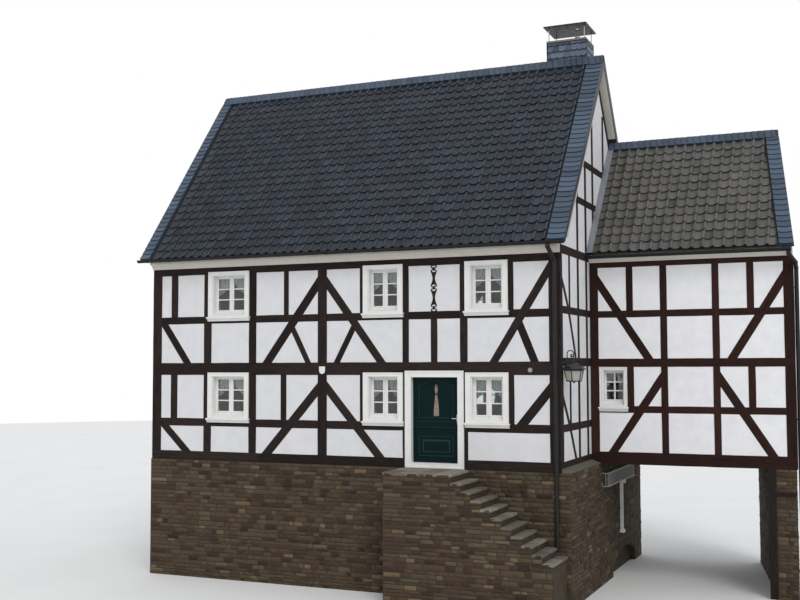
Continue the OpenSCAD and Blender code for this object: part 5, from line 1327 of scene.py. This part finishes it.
for half, low, high, profile in (
        (0.435, 0.138, 0.612,
         [(0.0, 0.0), (0.003, 0.009), (0.012, 0.012), (0.022, 0.007), (0.03, -0.008)]),
        (0.353, 0.22, 0.53, [(0.0, -0.012), (0.0, -0.003), (0.012, 0.002), (0.04, 0.004)])):
    sweep(leaf_trim, LEAF_FACE, (DOOR_MID - half, DOOR_MID + half, LEAF_LOW + low, LEAF_LOW + high),
          profile)
for z in (3.9, 4.045):
    tube(leaf_trim, [(DOOR_MID - RAIL_HALF, 0.098, z), (DOOR_MID + RAIL_HALF, 0.098, z)], 0.007)
# The beads and panel mouldings take the lighter door paint: painted highlight.
leaf_trim.make("door_leaf_mouldings", green_painted_highlight, "door_paint", body="door", crease=30)

leaf_rail = Joined()
rail_profile = [(3.885, 0.0), (4.056, 0.0), (4.054, 0.02), (4.045, 0.022), (4.02, 0.02),
                (3.925, 0.02), (3.90, 0.022), (3.887, 0.02)]
leaf_rail.add([(DOOR_MID + s * RAIL_HALF, z, n) for s in (-1, 1) for z, n in rail_profile],
              ring_faces(len(rail_profile), 2, True), LEAF_FACE)
leaf_rail.make("door_leaf_rail", green, "door_paint", body="door", crease=30)

# Ornament on the door: a bound bundle of pale stalks, flat against the panel
bundle = Joined()
BUNDLE_SIDE = [(0.0, 0.001), (0.0, 0.06), (0.012, 0.068), (0.1, 0.066), (0.2, 0.059),
               (0.3, 0.05), (0.4, 0.039), (0.47, 0.03), (0.505, 0.021), (0.525, 0.021),
               (0.55, 0.031), (0.6, 0.038), (0.65, 0.037), (0.7, 0.028), (0.735, 0.014),
               (0.75, 0.001)]
STALKS, around = 11, 56
points = []
for z, r in BUNDLE_SIDE:
    for a in np.arange(around) * math.pi / (around - 1):
        reach = r * (0.93 + 0.07 * abs(math.cos(STALKS * a)))
        points.append((DOOR_MID - reach * math.cos(a), PENDANT_Z + z, reach * 0.8 * math.sin(a)))
bundle.add(points, ring_faces(around, len(BUNDLE_SIDE)), upright("front", PANEL_Y))
bundle.make("door_ornament_bundle", pale_wood, "pale_wood", "door_ornament", body="door",
            crease=25)

tie = Joined()
tube(tie, [(DOOR_MID - 0.026 * math.cos(a), PANEL_Y - 0.021 * math.sin(a), PENDANT_Z + 0.515)
           for a in np.linspace(0, math.pi, 13)], 0.009)
tie.make("door_ornament_tie", dark_metal, "dark_metal", body="door")

# Scroll under the lantern's arm
scroll = Joined()
path = []
for share in np.arange(36) / 35:
    turn, r = -1.7 * math.tau * share, 0.044 - 0.034 * share
    path.append((0.226 + r * math.cos(turn), TIMBER_T / 2,
                 BASE_H + LANTERN_Z + 0.31 + r * math.sin(turn)))
tube(scroll, path, 0.009)
scroll.make("lantern_scroll", lamp_metal, "dark_metal")

# Curtains: a rod across each opening, and two curtains gathered to its sides
ROD_N, ROD_R, FOLDS = -0.203, 0.006, 7
rods = Joined()


def curtain(name, plane, side_x, middle_x, top, foot):
    """A curtain from the rod, drawn to the side and tied half way down."""
    full = abs(middle_x - side_x)
    way = 1 if middle_x > side_x else -1
    cloth_w, tied, tie_at, rows, cols = full * 1.5, 0.09, 0.58, 16, FOLDS * 8
    grid = []
    for r in range(rows + 1):
        v = r / rows
        width = full - 0.012 - (full - tied) * min(1.0, v / tie_at) ** 1.7
        if v > tie_at:
            width = tied + 0.012 + 0.05 * (v - tie_at) / (1 - tie_at)
        deep = min(0.02, math.sqrt(max(cloth_w ** 2 - width ** 2, 0.0)) / (4 * FOLDS))
        for c in range(cols + 1):
            u = c / cols
            sag = 0.03 * u * math.sin(math.pi * min(1.0, v / tie_at))
            grid.append((side_x + way * (0.006 + width * u), top - (top - foot) * v - sag,
                         ROD_N + deep * math.sin(math.tau * FOLDS * u + 0.6 * v)))
    j = Joined()
    j.add(grid, grid_faces(cols + 1, rows), plane)
    made = j.make(name, cotton, None, crease=180)


for number, (plane, x0, x1, z0, z1, side, stile, mullion, head) in enumerate(WINDOWS):
    panes, low, high = pane_edges(x0, x1, z0, z1, side, stile, mullion, head)
    reveal = side - 0.055 if mullion > WING_MULLION else 0.02
    left, right, rod_z = x0 + reveal, x1 - reveal, high + 0.03
    ends = plane.put([(left, rod_z, ROD_N), (right, rod_z, ROD_N)])
    tube(rods, ends, ROD_R)
    middle = (x0 + x1) / 2
    curtain(f"curtain_{number}_left", plane, left, middle, rod_z, low - 0.01)
    curtain(f"curtain_{number}_right", plane, right, middle, rod_z, low - 0.01)
rods.make("curtain_rods", steel, "handle_metal", crease=60)

# A shield and a round plate, both bare, on the front's middle beam
plates = Frame2(FRONT, 121)
shield = [(-0.02, -0.095), (0.02, -0.095), (0.062, -0.07), (0.08, -0.02), (0.08, 0.085),
          (-0.08, 0.085), (-0.08, -0.02), (-0.062, -0.07)]
hewn(plates.j, FRONT, [(x + BAYS[0][1], z + 5.255) for x, z in shield], (1, 0), 0.008, 0.01, 0.5,
     plates.rng, 0.0, 0.003)
plates.j.make("shield_plate", white, "white_paint", crease=30)
disc_rng = np.random.RandomState(122)
for name, r, out, paint in (("round_plate", 0.088, 0.008, dark_metal),
                            ("round_plate_middle", 0.052, 0.011, cage_metal)):
    j = Joined()
    ring = [(r * math.cos(a) - 0.716, r * math.sin(a) + 5.246)
            for a in np.arange(24) * math.tau / 24]
    hewn(j, FRONT, ring, (1, 0), out, 0.012, 0.5, disc_rng, 0.0, 0.002)
    j.make(name, paint, "dark_metal" if r > 0.06 else "handle_metal", crease=30)

# Straps that hold the main gutters
straps = Joined()
GUTTER_Y, GUTTER_Z, GUTTER_R = -0.4, 8.115, 0.07
for centre_y in (GUTTER_Y, HOUSE_D - GUTTER_Y):
    for x in np.arange(-HOUSE_W + 0.1, 0.15 if centre_y < 0 else -0.1, 0.65):
        turns = np.linspace(math.pi, math.tau, 13)
        section = [(-0.015, GUTTER_R - 0.001), (-0.015, GUTTER_R + 0.006),
                   (0.015, GUTTER_R + 0.006), (0.015, GUTTER_R - 0.001)]
        points = [(x + dx, centre_y + r * math.cos(t), GUTTER_Z + r * math.sin(t))
                  for dx, r in section for t in turns]
        count = len(turns)
        ends = [[0, count, 2 * count, 3 * count],
                [4 * count - 1, 3 * count - 1, 2 * count - 1, count - 1]]
        straps.add(points, [f[::-1] for f in grid_faces(count, 3)] + ends)
straps.make("gutter_straps", dark_metal, "dark_metal", crease=30)

# Floor, world and lights
disc = bpy.data.meshes.new("floor")
ring = [(90 * math.cos(a), 90 * math.sin(a), 0) for a in np.arange(96) * math.tau / 96]
disc.from_pydata(ring, [], [list(range(96))])
floor = bpy.data.objects.new("floor", disc)
bpy.context.collection.objects.link(floor)
ground = Shader("floor")
disc.materials.append(ground.done(
    ground.grey(ground.noise(ground.stretched(), 0.4, 3), 0.3, 0.7, 0.78, 0.81), 0.9, shine=0.1))

world = bpy.data.worlds.new("studio")
bpy.context.scene.world = world
world.use_nodes = True
sky = world.node_tree
sky.nodes.clear()
ray = add_node(sky, "ShaderNodeLightPath").outputs
seen = ray["Is Camera Ray"]
for other in ("Is Glossy Ray", "Is Transmission Ray"):
    seen = add_node(sky, "ShaderNodeMath", {0: seen, 1: ray[other]}, operation="MAXIMUM").outputs[0]
lit = add_node(sky, "ShaderNodeBackground", {0: (0.96, 0.98, 1.0, 1), 1: 0.82}).outputs[0]
plain = add_node(sky, "ShaderNodeBackground", {0: (1, 1, 1, 1), 1: 1.0}).outputs[0]
mixed = add_node(sky, "ShaderNodeMixShader", {0: seen, 1: lit, 2: plain}).outputs[0]
add_node(sky, "ShaderNodeOutputWorld", {0: mixed})


def sun(name, towards, power, spread, colour=(1, 1, 1)):
    data = bpy.data.lights.new(name, "SUN")
    data.energy, data.angle, data.color = power, math.radians(spread), colour
    lamp = bpy.data.objects.new(name, data)
    bpy.context.collection.objects.link(lamp)
    lamp.rotation_euler = Vector(towards).to_track_quat("-Z", "Y").to_euler()


sun("key", (-0.55, 0.75, -0.8), 1.0, 25, (1.0, 0.985, 0.96))

bpy.context.scene.view_settings.view_transform = "Standard"
